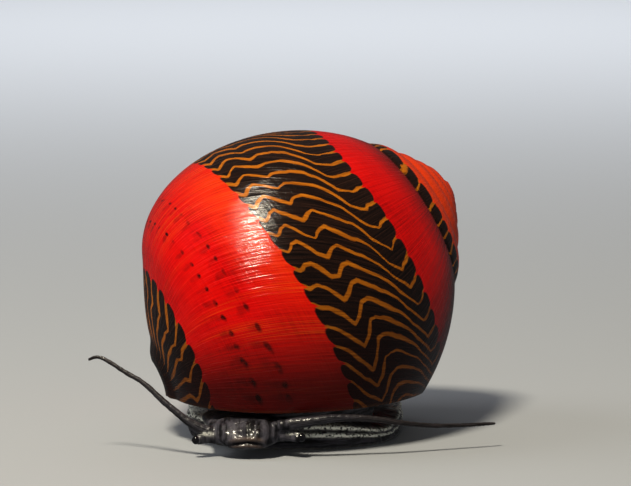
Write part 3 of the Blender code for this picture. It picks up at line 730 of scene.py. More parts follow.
    # Where the black bands lie: their ends are rounded between the lines, no two alike
    cell_end = {0: from_line, 1: -2.0, 2: 1.0}
    cell_end = add(tree, "ShaderNodeMath", cell_end, operation="MULTIPLY_ADD")
    cell_end = add(tree, "ShaderNodeMath", {0: cell_end, 1: 3.0}, operation="POWER")
    uneven_end = {0: cell_end, 1: shares["uneven"]}
    uneven_end = add(tree, "ShaderNodeMath", uneven_end, operation="MULTIPLY")
    edges = []
    for end, bulge, edge in (
        (uneven_end, shares["left_bulge"], BAND_LEFT + LEFT_SET_OFF),
        (uneven_end, RIGHT_BULGE, band_end),
        (cell_end, BASAL_BULGE, BASAL_EDGE + BASAL_SET_OFF),
    ):
        edge = {0: end, 1: bulge, 2: edge}
        edges.append(add(tree, "ShaderNodeMath", edge, operation="MULTIPLY_ADD"))
    left_edge, right_edge, basal_edge = edges
    sides = []
    for value, edge in ((across, left_edge), (right_edge, across), (basal_edge, across)):
        beyond = add(tree, "ShaderNodeMath", {0: value, 1: edge}, operation="SUBTRACT")
        beyond = {0: beyond, 1: -BAND_EDGE_BLUR, 2: BAND_EDGE_BLUR}
        sides.append(add(tree, "ShaderNodeMapRange", beyond))
    main_band = add(tree, "ShaderNodeMath", {0: sides[0], 1: sides[1]}, operation="MULTIPLY")
    in_band = add(tree, "ShaderNodeMath", {0: main_band, 1: sides[2]}, operation="MAXIMUM")

    # Painted shade: the newest growth, low on the shell by the lip, is darkened as if in shadow,
    # and its orange lines less so
    lip_painted_shade = add(
        tree,
        "ShaderNodeMapRange",
        {0: grown, 1: 8.0, 2: 41.0, 3: 0.88, 4: 0.0},
        interpolation_type="SMOOTHSTEP",
    )
    line_here = add(tree, "ShaderNodeMath", {0: on_line, 1: in_band}, operation="MULTIPLY")
    line_kept = add(tree, "ShaderNodeMapRange", {0: line_here, 3: 1.0, 4: 0.55})
    lip_painted_shade = add(tree, "ShaderNodeMath", {0: lip_painted_shade, 1: line_kept}, operation="MULTIPLY")

    # Lip and inside: amber where the new edge and the callus are thin, then cream porcelain
    layer = {COVERED: clouds, LOWER: linear("#C9AE78"), UPPER: linear("#EADDBB")}
    porcelain = add(tree, "ShaderNodeMix", layer, data_type="RGBA").outputs[MIXED]
    layer = {COVERED: shares["callus"], LOWER: linear("#5A3414"), UPPER: porcelain}
    porcelain = add(tree, "ShaderNodeMix", layer, data_type="RGBA").outputs[MIXED]

    # The whole outside, with painted shade towards the seam with the older whorl and on the newest
    # growth low on the shell, and the inside over it
    colour = red
    for covered, tint in (
        (in_band, banded),
        (shares["painted_seam_shade"], linear("#1E0402")),
        (lip_painted_shade, linear("#1E0603")),
        (shares["lip_rim"], linear("#4E2E10")),
        (shares["inside"], porcelain),
    ):
        layer = {COVERED: covered, LOWER: colour, UPPER: tint}
        colour = add(tree, "ShaderNodeMix", layer, data_type="RGBA").outputs[MIXED]

    # Bump from growth ridges finer than the mesh
    height = {0: patterns["turning_lines"], 1: 0.3, 2: patterns["ridges"]}
    height = add(tree, "ShaderNodeMath", height, operation="MULTIPLY_ADD")
    bump = add(
        tree, "ShaderNodeBump", {"Height": height, "Strength": 0.55, "Distance": 0.06 * MM}
    )
    surface = add(
        tree,
        "ShaderNodeBsdfPrincipled",
        {
            "Base Color": colour,
            "Roughness": shares["roughness"],
            "IOR": 1.2,
            "Normal": bump,
            "Coat Weight": 0.65,
            "Coat Roughness": 0.09,
            "Coat Normal": bump,
        },
    )
    add(tree, "ShaderNodeOutputMaterial", {0: surface})
    return made


def finished(obj, material_made, name_of_slot, *nodes):
    """Gives a piece its material, its smooth faces and its place on the CAD frame."""
    obj.data.materials.clear()
    obj.data.materials.append(material_made)
    obj.data.polygons.foreach_set("use_smooth", [True] * len(obj.data.polygons))
    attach(obj, "root")
    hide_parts(*nodes)


finished(shell, shell_material(), "shell", "shell")


# Flesh
# Foot, head, neck, mantle edge, tentacles and eyestalks are one soft wet skin with no seams,
# held in the shell's mouth by the neck and the mantle edge. It is modelled as overlapping
# forms, in millimetres, that are remeshed into one surface and then furrowed.

FOOT_CENTRE = np.array((-0.45, 0.3))
FOOT_HALF_WIDTH = 6.95
FOOT_HALF_LENGTH = 8.2
FOOT_SQUARE = 0.8
FOOT_COLUMNS = 260
FOOT_RIPPLE = 0.05
FOOT_RIPPLES = 9
FOOT_TOP = 2.1
FOOT_TAIL_THINNING = 0.5
FOOT_CORNER = math.radians(-36.0)
FOOT_CORNER_REACH = math.radians(24.0)
FOOT_CORNER_THINNING = 0.45
FOOT_THINNING_REACH = 3

# The foot's edge from the sole up, as inset and height: a furrow between two crests
FOOT_PROFILE = (
    (3.5, 0.0),
    (0.9, 0.0),
    (0.3, 0.02),
    (0.1, 0.16),
    (0.04, 0.34),
    (0.1, 0.5),
    (0.26, 0.6),
    (0.14, 0.7),
    (0.04, 0.82),
    (0.02, 0.93),
    (0.12, 1.03),
    (0.42, 1.12),
    (0.24, 1.22),
    (0.12, 1.33),
    (0.14, 1.45),
    (0.32, 1.52),
    (0.9, 1.54),
    (1.5, 1.56),
    (2.4, 1.64),
    (3.2, 1.9),
)


def squared_oval(angle, power):
    """Two coordinates round an oval that is fuller at its corners than an ellipse."""
    ways = (np.cos(angle), np.sin(angle))
    return [np.sign(way) * np.abs(way) ** power for way in ways]


def foot_thinness(angle):
    """Share by which the foot's edge is lower: at its rear and at the trailing right corner."""
    rear = np.maximum(0, np.sin(angle))
    corner = np.exp(-(((angle - FOOT_CORNER) / FOOT_CORNER_REACH) ** 2))
    return FOOT_TAIL_THINNING * rear + FOOT_CORNER_THINNING * corner


def loft(rings, first_centre, last_centre):
    """A mesh over equal closed rings, ended by fans to the two centres."""
    made = bmesh.new()
    rows = [[made.verts.new(point) for point in ring] for ring in rings]
    count = len(rows[0])
    for low, high in zip(rows[:-1], rows[1:]):
        for i in range(count):
            j = (i + 1) % count
            made.faces.new((low[i], low[j], high[j], high[i]))
    for row, centre in ((rows[0], first_centre), (rows[-1], last_centre)):
        middle = made.verts.new(centre)
        for i in range(count):
            made.faces.new((row[i], row[(i + 1) % count], middle))
    bmesh.ops.recalc_face_normals(made, faces=made.faces)
    mesh = bpy.data.meshes.new("form")
    made.to_mesh(mesh)
    made.free()
    return mesh


def foot_form():
    angle = np.linspace(-math.pi, math.pi, FOOT_COLUMNS, endpoint=False)
    x, y = squared_oval(angle, FOOT_SQUARE)
    thinness = foot_thinness(angle)
    waves = np.sin(FOOT_RIPPLES * angle + 0.6)
    ripple = FOOT_RIPPLE * waves + FOOT_RIPPLE * drift(angle * 7, np.zeros_like(angle), 31)
    rings = []
    for inset, height in FOOT_PROFILE:
        thin = height * (1 - thinness * (1 - min(1, inset / FOOT_THINNING_REACH)))
        ring_x = FOOT_CENTRE[0] + x * (FOOT_HALF_WIDTH + ripple - inset)
        ring_y = FOOT_CENTRE[1] + y * (FOOT_HALF_LENGTH + ripple - inset)
        rings.append(np.stack((ring_x, ring_y, thin), 1).tolist())
    return loft(rings, (*FOOT_CENTRE, 0.0), (*FOOT_CENTRE, FOOT_TOP))


def catmull(points, places):
    """A smooth curve through points, at places that count the points passed."""
    points = np.array(points, float)
    last = len(points) - 1
    i = np.minimum(np.floor(places).astype(int), last - 1)
    t = (places - i)[:, None]
    p0, p1, p2, p3 = (points[np.clip(i + k, 0, last)] for k in (-1, 0, 1, 2))
    slope = (p2 - p0) * t
    bend = (2 * p0 - 5 * p1 + 4 * p2 - p3) * t**2
    twist = (3 * p1 - p0 - 3 * p2 + p3) * t**3
    return (2 * p1 + slope + bend + twist) / 2


# Head: squared ovals from the snout's tip back to the neck, as Y, half width, low and high
HEAD_X = -3.3
HEAD_SIDES = 64
HEAD_ROWS = 61
HEAD_SQUARE = 0.85
SNOUT_TIP = (HEAD_X, -11.27, 1.15)
HEAD_BACK = (HEAD_X, -6.4, 1.8)
HEAD_STATIONS = (
    (-11.24, 0.4, 0.95, 1.36),
    (-11.16, 0.95, 0.74, 1.58),
    (-10.95, 1.4, 0.62, 1.86),
    (-10.5, 1.84, 0.56, 2.08),
    (-10.05, 2.12, 0.58, 2.24),
    (-9.6, 2.34, 0.68, 2.3),
    (-9.2, 2.44, 0.8, 2.28),
    (-8.8, 2.5, 0.9, 2.22),
    (-8.2, 2.56, 1.0, 2.2),
    (-7.4, 2.7, 1.05, 2.3),
    (-6.4, 2.9, 1.1, 2.5),
)


def head_form():
    x, z = squared_oval(np.linspace(0, TURN, HEAD_SIDES, endpoint=False), HEAD_SQUARE)
    rows = catmull(HEAD_STATIONS, np.linspace(0, len(HEAD_STATIONS) - 1, HEAD_ROWS))
    rings = []
    for y, half_width, low, high in rows:
        ring_z = (low + high) / 2 + z * (high - low) / 2
        ring = np.stack((HEAD_X + x * half_width, np.full_like(x, y), ring_z), 1)
        rings.append(ring.tolist())
    return loft(rings, SNOUT_TIP, HEAD_BACK)


TUBE_SIDES = 20


def tube_form(centres, radii):
    """A round tube of changing radius along a path."""
    centres = np.array(centres, float)
    ahead = np.gradient(centres, axis=0)
    ahead /= np.linalg.norm(ahead, axis=1, keepdims=True)
    side = np.cross(ahead, (0.0, 0.0, 1.0))
    side /= np.linalg.norm(side, axis=1, keepdims=True)
    upper = np.cross(side, ahead)
    angle = np.linspace(0, TURN, TUBE_SIDES, endpoint=False)
    round_side = np.cos(angle)[None, :, None] * side[:, None]
    round_up = np.sin(angle)[None, :, None] * upper[:, None]
    rings = centres[:, None] + (round_side + round_up) * np.array(radii)[:, None, None]
    return loft(rings.tolist(), centres[0].tolist(), centres[-1].tolist())


# Feelers: paths from root to tip, and radii at shares of the length
LEFT_FEELER = (
    (-4.7, -9.6, 1.5),
    (-5.4, -9.85, 1.5),
    (-6.1, -9.9, 1.68),
    (-7.0, -9.8, 2.2),
    (-8.3, -9.45, 3.2),
    (-9.65, -8.95, 4.35),
    (-10.75, -8.6, 4.95),
    (-12.3, -8.1, 5.8),
    (-13.1, -7.9, 5.65),
)
RIGHT_FEELER = (
    (-1.6, -9.9, 1.75),
    (-0.6, -10.3, 2.05),
    (0.6, -10.5, 2.25),
    (2.0, -10.4, 2.42),
    (3.4, -10.1, 2.4),
    (4.9, -9.75, 2.22),
    (6.1, -9.3, 1.95),
    (8.5, -8.3, 1.6),
    (12.0, -6.9, 1.5),
)
FEELER_RADII = ((0.0, 0.44), (0.12, 0.34), (0.3, 0.23), (0.6, 0.165), (0.9, 0.13), (1.0, 0.1))
FEELER_STEPS = 90
FEELER_SWELLING = 0.04
FEELER_SWELLINGS = 14


def feeler_path(points):
    return catmull(points, np.linspace(0, len(points) - 1, FEELER_STEPS))


def run_along(path):
    """The length of a path up to each of its points."""
    return np.concatenate(((0,), np.cumsum(np.linalg.norm(np.diff(path, axis=0), axis=1))))


def feeler_form(points):
    path = feeler_path(points)
    run = run_along(path)
    shares, radii = np.array(FEELER_RADII).T
    swelling = FEELER_SWELLING * np.sin(run * FEELER_SWELLINGS)
    radius = np.interp(run / run[-1], shares, radii)
    radius *= 1 + swelling * np.clip(1.2 - run / run[-1], 0, 1)
    return tube_form(path, radius)


# Eyestalks: the root and the eye's centre of each, and radii at shares of the length
EYES = {
    "left": ((-5.1, -9.9, 1.2), (-6.4, -10.55, 1.12)),
    "right": ((-1.4, -9.9, 1.3), (0.0, -10.6, 1.28)),
}
STALK_RADII = ((0.0, 0.4), (0.5, 0.3), (0.85, 0.31), (1.0, 0.29))
STALK_STEPS = 24
STALK_SHORTER = 0.06


def stalk_form(root, eye):
    """A short stalk that swells into the cup round the eye."""
    root = np.array(root)
    eye = np.array(eye)
    length = np.linalg.norm(eye - root)
    steps = np.linspace(0, 1 - STALK_SHORTER / length, STALK_STEPS)
    shares, radii = np.array(STALK_RADII).T
    return tube_form(root + (eye - root) * steps[:, None], np.interp(steps, shares, radii))


NECK_WIDENS = (3.4, 4.0)
NECK_WIDENING = 0.5
NECK_BOTTOM = 2.2
NECK_SUNK_TO = 1.2
LEAST_REACH = 1e-6


def neck_form():
    """The neck's own solid, widened inside the shell so that it joins the mantle edge."""
    mesh = in_millimetres(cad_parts["neck"].data)
    points = points_of(mesh)
    outward = points[:, :2] - points[:, :2].mean(0)
    outward /= np.maximum(np.linalg.norm(outward, axis=1, keepdims=True), LEAST_REACH)
    widened = smooth_step(points[:, 2], *NECK_WIDENS) * NECK_WIDENING
    points[:, :2] += outward * widened[:, None]
    points[:, 2] = np.where(points[:, 2] < NECK_BOTTOM, NECK_SUNK_TO, points[:, 2])
    put_points(mesh, points)
    return mesh


SKIN_VOXEL = 0.07
SKIN_SMOOTHING = 3
skin = remeshed(
    "wet_skin",
    [
        foot_form(),
        head_form(),
        neck_form(),
        in_millimetres(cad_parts["mantle_edge"].data),
        feeler_form(LEFT_FEELER),
        feeler_form(RIGHT_FEELER),
        stalk_form(*EYES["left"]),
        stalk_form(*EYES["right"]),
    ],
    SKIN_VOXEL,
    SKIN_SMOOTHING,
)

# The skin's points and normals; x, y and z are views of the points, and move with them
skin_points = points_of(skin.data)
skin_normals = normals_of(skin.data)
x, y, z = skin_points.T


def near_path(points, path):
    """Distance to a path, run along it and angle round it, for each point."""
    nearest = np.full(len(points), np.inf)
    run_there = np.zeros(len(points))
    angle_there = np.zeros(len(points))
    run = run_along(path)
    for i in range(len(path) - 1):
        ahead = path[i + 1] - path[i]
        length = np.linalg.norm(ahead)
        ahead = ahead / length
        off = points - path[i]
        along = np.clip(off @ ahead, 0, length)
        away = off - along[:, None] * ahead
        far = np.linalg.norm(away, axis=1)
        closer = far < nearest
        nearest = np.where(closer, far, nearest)
        run_there = np.where(closer, run[i] + along, run_there)
        side = np.cross(ahead, (0.0, 0.0, 1.0))
        side /= np.linalg.norm(side)
        upper = np.cross(side, ahead)
        angle_there = np.where(closer, np.arctan2(away @ upper, away @ side), angle_there)
    return nearest, run_there, angle_there


# Which part of the body each point is on, as shares from 0 to 1. A feeler's stripes start
# far from the rim's own, so that the two patterns differ.
FEELER_REACH = (0.5, 0.75)
FEELER_ROOT = (0.6, 1.6)
FEELER_STRIPES_FROM = 40
HEAD_ENDS = (-8.7, -8.2)
RIM_BEGINS = (0.8, 0.93)
RIM_ENDS = (1.5, 1.8)
MANTLE_BEGINS = (2.5, 2.7)
SOLE_FACING = (0.6, 0.9)
SOLE_ENDS = (0.02, 0.1)
on_feeler = np.zeros(len(skin_points))
stripe_across = np.zeros(len(skin_points))
stripe_along = np.zeros(len(skin_points))
for feeler in (LEFT_FEELER, RIGHT_FEELER):
    far, run, round_angle = near_path(skin_points, feeler_path(feeler))
    close = (1 - smooth_step(far, *FEELER_REACH)) * smooth_step(run, *FEELER_ROOT)
    stripe_across = np.where(close > 0.5, round_angle / 2, stripe_across)
    stripe_along = np.where(close > 0.5, run + FEELER_STRIPES_FROM, stripe_along)
    on_feeler = np.maximum(on_feeler, close)

rim_x = (x - FOOT_CENTRE[0]) / FOOT_HALF_WIDTH
rim_y = (y - FOOT_CENTRE[1]) / FOOT_HALF_LENGTH
foot_angle = np.arctan2(rim_y, rim_x)
rim_run = foot_angle * (FOOT_HALF_WIDTH + FOOT_HALF_LENGTH) / 2
on_head = (1 - smooth_step(y, *HEAD_ENDS)) * (1 - on_feeler)
on_rim = smooth_step(np.hypot(rim_x, rim_y), *RIM_BEGINS) * (1 - smooth_step(z, *RIM_ENDS))
on_rim *= (1 - on_feeler) * (1 - on_head)
on_mantle = smooth_step(z, *MANTLE_BEGINS) * (1 - on_feeler)
flat_sole = smooth_step(-skin_normals[:, 2], *SOLE_FACING)
flat_sole *= 1 - smooth_step(z, *SOLE_ENDS)

# Furrows: where they lie, their height in millimetres, two coordinates over their spacing
# in millimetres, and their seed
FACE_CENTRE = 1.0
face_turn = np.arctan2(z - FACE_CENTRE, x - HEAD_X)
face_reach = np.hypot(z - FACE_CENTRE, x - HEAD_X)
front_face = on_head * smooth_step(-skin_normals[:, 1], 0.2, 0.6)
front_face *= smooth_step(face_reach, 0.3, 0.8)
rim_side = on_rim * (1 - flat_sole)
head_top = on_head * smooth_step(skin_normals[:, 2], 0.1, 0.6)
soft_parts = (1 - on_feeler) * (1 - flat_sole)
furrows = (
    # Upright ones round the foot's rim
    (rim_side, 0.035, rim_run / 0.33, z * 1.3, 41),
    (rim_side, 0.02, rim_run / 0.16, z * 3, 43),
    # Cross folds and pits on top of the head
    (head_top, 0.045, x / 0.8, y / 0.3, 47),
    (head_top, 0.02, x / 0.24, y / 0.24, 49),
    # Folds that fan out from the mouth, and pits between them
    (front_face, 0.045, face_turn * 5, face_reach * 1.4, 51),
    (front_face, 0.02, x / 0.2, z / 0.2, 67),
    # Folds on the mantle edge
    (on_mantle, 0.03, rim_run / 0.4, z * 2, 53),
    # A fine unevenness of all but the feelers and the sole
    (soft_parts, 0.008, x * 7 + z * 5, y * 7 - z * 3, 59),
    # Rings round the feelers
    (on_feeler, 0.012, stripe_along / 0.18, stripe_across * 2, 61),
)
lift = sum(
    where * height * drift(first, second, seed)
    for where, height, first, second, seed in furrows
)

# Mouth: a crescent slit low on the snout between a lobed upper lip and a thin lower lip.
# The lips are given by their place above the slit, their reach and their share of the height.
MOUTH_HALF_WIDTH = 1.2
MOUTH_LEVEL = 1.05
MOUTH_DROOP = 0.2
MOUTH_BACK = (-10.5, -10.1)
LIPS = ((0.24, 0.13, 1.0), (-0.18, 0.09, 0.7))
LIP_HEIGHT = 0.11
SLIT_REACH = 0.07
SLIT_DEPTH = 0.2
NOTCH_REACH = 0.2
NOTCH_DEPTH = 0.12


def ridge(off, reach):
    """A soft ridge over the distance from its line, 1 on the line."""
    return np.exp(-((off / reach) ** 2))


mouth_share = np.clip((x - HEAD_X) / MOUTH_HALF_WIDTH, -1.4, 1.4)
above = z - (MOUTH_LEVEL - MOUTH_DROOP * mouth_share**2)
fade = np.clip(1 - np.abs(mouth_share) ** 3, 0, 1) * (1 - smooth_step(y, *MOUTH_BACK))
slit = ridge(above, SLIT_REACH) * fade
lips = sum(size * ridge(above - level, reach) for level, reach, size in LIPS) * fade
notch = ridge(x - HEAD_X, NOTCH_REACH) * smooth_step(above, 0.02, 0.2)
notch *= fade * (1 - smooth_step(above, 0.6, 1.1))
lift += LIP_HEIGHT * lips - SLIT_DEPTH * slit - NOTCH_DEPTH * notch

skin_points += skin_normals * lift[:, None]
skin_points[:, 2] = np.where(flat_sole > 0.5, 0.0, np.maximum(skin_points[:, 2], 0.0))
put_points(skin.data, skin_points * MM)

# Maps for the colours: stripes that follow each part, the brown of the feelers' outer lengths, the
# crests of the rim that carry painted glints, mantle edge, sole, lips, and the slit that carries
# painted shade
UPPER_CREST = (1.45, 0.13)
LOWER_CREST = (0.92, 0.11)
BROWN_LEAST = 0.1
BROWN_MORE = 0.6
BROWN_FROM_HEAD = (4.0, 9.0)
rim_stripes = z + 0.35 * np.hypot(x, y)
stripe_across = np.where(
    on_feeler > 0.5, stripe_across, np.where(on_head > 0.5, 0.4 * x, rim_stripes)
)
stripe_along = np.where(
    on_feeler > 0.5, stripe_along, np.where(on_head > 0.5, 2 * (y - z), rim_run)
)
rim_height = z / (1 - foot_thinness(foot_angle))
crest = sum(ridge(rim_height - level, reach) for level, reach in (UPPER_CREST, LOWER_CREST))
brown = BROWN_LEAST + BROWN_MORE * smooth_step(np.abs(x - HEAD_X), *BROWN_FROM_HEAD)
skin_corners = corners_of(skin.data)
for name, first, second in (
    ("stripes", stripe_across, stripe_along),
    ("areas", on_feeler * brown, crest * on_rim),
    ("areas_more", on_mantle, flat_sole),
    ("mouth", lips, slit),
):
    put_map(skin.data, name, first[skin_corners], second[skin_corners])

# Patterns in the skin, as marks to a millimetre: stripes, slime grains and blotches
STRIPES_TO_A_MM = (7.0, 0.5, 1.0)
GRAINS_TO_A_MM = 5.2
BLOTCHES_TO_A_MM = 0.9


def skin_material():
    """Wet slimy skin: dark grey brown, streaked lengthwise, with a sharp film of shine."""
    made, tree = new_material("wet_snail_skin")
    parts = {}
    for name in ("areas", "areas_more", "mouth"):
        area_map = add(tree, "ShaderNodeUVMap", uv_map=name)
        parts[name] = add(tree, "ShaderNodeSeparateXYZ", {0: area_map}).outputs[:2]
    brown_part, crest_part = parts["areas"]
    mantle_part, sole_part = parts["areas_more"]
    # The slit's share darkens the mouth as painted shade
    lip_part, slit_shade_part = parts["mouth"]
    stripes = add(tree, "ShaderNodeUVMap", uv_map="stripes")
    stripes = add(tree, "ShaderNodeMapping", {"Vector": stripes, "Scale": STRIPES_TO_A_MM})
    lines = add(
        tree,
        "ShaderNodeTexNoise",
        {"Vector": stripes, "Scale": 1.0, "Detail": 3.0, "Roughness": 0.6},
        noise_dimensions="2D",
    )
    placed = add(tree, "ShaderNodeTexCoord").outputs["Object"]
    grains = add(
        tree,
        "ShaderNodeTexNoise",
        {"Vector": placed, "Scale": GRAINS_TO_A_MM / MM, "Detail": 2.0},
    )
    blotches = add(
        tree,
        "ShaderNodeTexNoise",
        {"Vector": placed, "Scale": BLOTCHES_TO_A_MM / MM, "Detail": 3.0},
    )

    # Painted glints: bright specks along the crests of the foot's rim, standing in for their wet
    # shine
    painted_glints = add(tree, "ShaderNodeMapRange", {0: grains, 1: 0.38, 2: 0.56})
    painted_glints = add(tree, "ShaderNodeMath", {0: painted_glints, 1: crest_part}, operation="MULTIPLY")
    painted_glints = add(
        tree, "ShaderNodeMath", {0: painted_glints, 1: 2.0}, operation="MULTIPLY", use_clamp=True
    )
    lip_tint = add(
        tree, "ShaderNodeMath", {0: lip_part, 1: 0.7}, operation="MULTIPLY", use_clamp=True
    )

    # Dark skin, browner feelers, painted glints, brown mantle edge, pale sole, lips and painted
    # shade in the mouth slit
    dark = add(
        tree, "ShaderNodeValToRGB", {0: lines}, stops=((0.4, "#0C0B0F"), (0.68, "#48464E"))
    )
    brown = add(
        tree, "ShaderNodeValToRGB", {0: lines}, stops=((0.38, "#14100F"), (0.66, "#352D2B"))
    )
    layer = {COVERED: blotches, LOWER: linear("#3A241A"), UPPER: linear("#8A6A4E")}
    mantle = add(tree, "ShaderNodeMix", layer, data_type="RGBA").outputs[MIXED]
    colour = dark
    for covered, tint in (
        (brown_part, brown),
        (painted_glints, linear("#F8FAF0")),
        (mantle_part, mantle),
        (sole_part, linear("#8C8478")),
        (lip_tint, linear("#6B5A50")),
        (slit_shade_part, linear("#080405")),
    ):
        layer = {COVERED: covered, LOWER: colour, UPPER: tint}
        colour = add(tree, "ShaderNodeMix", layer, data_type="RGBA").outputs[MIXED]

    # Wetter along the crests
    bump = add(
        tree, "ShaderNodeBump", {"Height": grains, "Strength": 0.8, "Distance": 0.05 * MM}
    )
    dryness = add(tree, "ShaderNodeMapRange", {0: blotches, 1: 0.3, 2: 0.7, 3: 0.28, 4: 0.5})
    roughness = {0: crest_part, 1: -0.15, 2: dryness}
    roughness = add(tree, "ShaderNodeMath", roughness, operation="MULTIPLY_ADD")
    surface = add(
        tree,
        "ShaderNodeBsdfPrincipled",
        {
            "Base Color": colour,
            "Roughness": roughness,
            "IOR": 1.4,
            "Normal": bump,
            "Coat Weight": 0.35,
            "Coat Roughness": 0.08,
        },
    )
    add(tree, "ShaderNodeOutputMaterial", {0: surface})
    return made


finished(
    skin,
    skin_material(),
    "flesh",
    "neck",
    "mantle_edge",
    "foot_front",
    "foot_middle",
    "foot_rear",
    "head",
    "tentacle_left_root",
    "tentacle_left_middle",
    "tentacle_left_tip",
    "tentacle_right_root",
    "tentacle_right_middle",
    "tentacle_right_tip",
    "eyestalk_left",
    "eyestalk_right",
)


# Eyes
# Two black balls on the tips of the short stalks, each under a clear wet cornea.
# They sit in the stalk's cup and are the only hard shine on the soft parts.

EYE_RADIUS = 0.27
EYE_COLUMNS = 40
EYE_ROWS = 24
CORNEA_BULGE = 0.05
CORNEA_NARROWNESS = 6
PIGMENT_CLOUD = 0.108


def eye_material():
    """Clear cornea over black pigment, with faint paler clouds in it: a hard bright glint."""
    made, tree = new_material("wet_black_eye")
    across_eye = add(tree, "ShaderNodeTexCoord").outputs["Generated"]
    clouds_across = 2 * EYE_RADIUS / PIGMENT_CLOUD
    clouds = add(
        tree,
        "ShaderNodeTexNoise",
        {"Vector": across_eye, "Scale": clouds_across, "Detail": 3.0},
    )
    tone = add(
        tree, "ShaderNodeValToRGB", {0: clouds}, stops=((0.35, "#050507"), (0.8, "#1C1A20"))
    )
    bump = add(
        tree, "ShaderNodeBump", {"Height": clouds, "Strength": 0.05, "Distance": 0.02 * MM}
    )
    surface = add(
        tree,
        "ShaderNodeBsdfPrincipled",
        {
            "Base Color": tone,
            "Roughness": 0.06,
            "IOR": 1.38,
            "Normal": bump,
            "Coat Weight": 1.0,
            "Coat Roughness": 0.02,
        },
    )
    add(tree, "ShaderNodeOutputMaterial", {0: surface})
    return made


eye_finish = eye_material()
for side, (root, centre) in EYES.items():
    ball = bmesh.new()
    bmesh.ops.create_uvsphere(
        ball, u_segments=EYE_COLUMNS, v_segments=EYE_ROWS, radius=EYE_RADIUS * MM
    )
    outward = Vector(centre) - Vector(root)
    turn = Vector((0, 0, 1)).rotation_difference(outward).to_matrix()
    for vertex in ball.verts:
        height = vertex.co.z / (EYE_RADIUS * MM)
        vertex.co *= 1 + CORNEA_BULGE * max(0.0, height) ** CORNEA_NARROWNESS
        vertex.co = turn @ vertex.co + Vector(centre) * MM
    mesh = bpy.data.meshes.new("eyeball_" + side)
    ball.to_mesh(mesh)
    ball.free()
    eye = bpy.data.objects.new("eyeball_" + side, mesh)
    bpy.context.scene.collection.objects.link(eye)
    finished(eye, eye_finish, "eye", "eye_" + side)


# Operculum
# The trapdoor: a half-moon plate of lime and horn on the back of the foot, with growth arcs
# round its straight inner edge. It lies flat while the snail is out of its shell.

OPERCULUM_CENTRE = (-0.3, 1.3)
OPERCULUM_HALF_WIDTH = 3.1
OPERCULUM_REACH = 3.6
OPERCULUM_BACK = 0.7
OPERCULUM_LOW = 1.75
OPERCULUM_THICKNESS = 0.46
OPERCULUM_COLUMNS = 160
OPERCULUM_FAN = 0.25
UNDER_RINGS = 26
EDGE_RINGS = 8
TOP_RINGS = 40
EDGE_BULGE = 0.05
ARC_HEIGHT = 0.022
ARC_TURNS = 95
ARC_WANDER = 1.5
ARC_SPACING = 0.349
OPERCULUM_GRAINS_TO_A_MM = 4.0
WAVE_RADIANS = 20


def operculum_mesh():
    angle = np.linspace(0, TURN, OPERCULUM_COLUMNS, endpoint=False)
    reach = np.where(np.sin(angle) > 0, OPERCULUM_REACH, OPERCULUM_BACK)
    under = np.linspace(OPERCULUM_FAN, 1, UNDER_RINGS)
    top = np.linspace(1, OPERCULUM_FAN, TOP_RINGS)
    sizes = np.concatenate((under, np.ones(EDGE_RINGS), top))
    edge_levels = np.linspace(0.02, 0.4, EDGE_RINGS)
    top_levels = np.full(TOP_RINGS, OPERCULUM_THICKNESS)
    levels = np.concatenate((np.zeros(UNDER_RINGS), edge_levels, top_levels))
    rings = []
    for i, (size, level) in enumerate(zip(sizes, levels)):
        arcs = np.zeros_like(angle)
        if i >= UNDER_RINGS + EDGE_RINGS:
            wander = ARC_WANDER * drift(angle * 2, np.full_like(angle, size * 4), 71)
            arcs = ARC_HEIGHT * np.sin(size * ARC_TURNS + wander)
        edge_share = (i - UNDER_RINGS + 2) / (EDGE_RINGS + 3)
        bulge = EDGE_BULGE * np.sin(math.pi * min(1, max(0, edge_share)))
        x = OPERCULUM_CENTRE[0] + np.cos(angle) * (OPERCULUM_HALF_WIDTH * size - 0.05 + bulge)
        y = OPERCULUM_CENTRE[1] + np.sin(angle) * reach * (size - 0.015 + bulge / 3)
        rings.append(np.stack((x, y, OPERCULUM_LOW + level + arcs), 1).tolist())
    middle = (OPERCULUM_CENTRE[0], OPERCULUM_CENTRE[1] + 0.2)
    return loft(
        rings, (*middle, OPERCULUM_LOW), (*middle, OPERCULUM_LOW + OPERCULUM_THICKNESS)
    )


def operculum_material():
    """Limy horn: pale buff with rust arcs where growth paused, dull where it is bare."""
    arc_scale = TURN / WAVE_RADIANS / ARC_SPACING
    made, tree = new_material("operculum_horn")
    placed = add(tree, "ShaderNodeTexCoord").outputs["Object"]
    centred = add(
        tree,
        "ShaderNodeMapping",
        {
            "Vector": placed,
            "Location": (-OPERCULUM_CENTRE[0], -OPERCULUM_CENTRE[1], 0.0),
            "Scale": (1 / MM, 1 / MM, 1 / MM),
        },
    )
    arcs = add(
        tree,
        "ShaderNodeTexWave",
        {"Vector": centred, "Scale": arc_scale, "Distortion": 1.5, "Detail": 3.0},
        wave_type="RINGS",
        rings_direction="Z",
    ).outputs["Fac"]
    grains = add(
        tree,
        "ShaderNodeTexNoise",
        {"Vector": placed, "Scale": OPERCULUM_GRAINS_TO_A_MM / MM, "Detail": 3.0},
    )
    tone = add(
        tree, "ShaderNodeValToRGB", {0: arcs}, stops=((0.0, "#8A4B22"), (1.0, "#D2B48A"))
    )
    layer = {COVERED: grains, LOWER: tone, UPPER: linear("#6B3A1C")}
    colour = add(tree, "ShaderNodeMix", layer, data_type="RGBA").outputs[MIXED]
    bump = add(
        tree, "ShaderNodeBump", {"Height": grains, "Strength": 0.4, "Distance": 0.03 * MM}
    )
    surface = add(
        tree,
        "ShaderNodeBsdfPrincipled",
        {"Base Color": colour, "Roughness": 0.45, "IOR": 1.5, "Normal": bump},
    )
    add(tree, "ShaderNodeOutputMaterial", {0: surface})
    return made


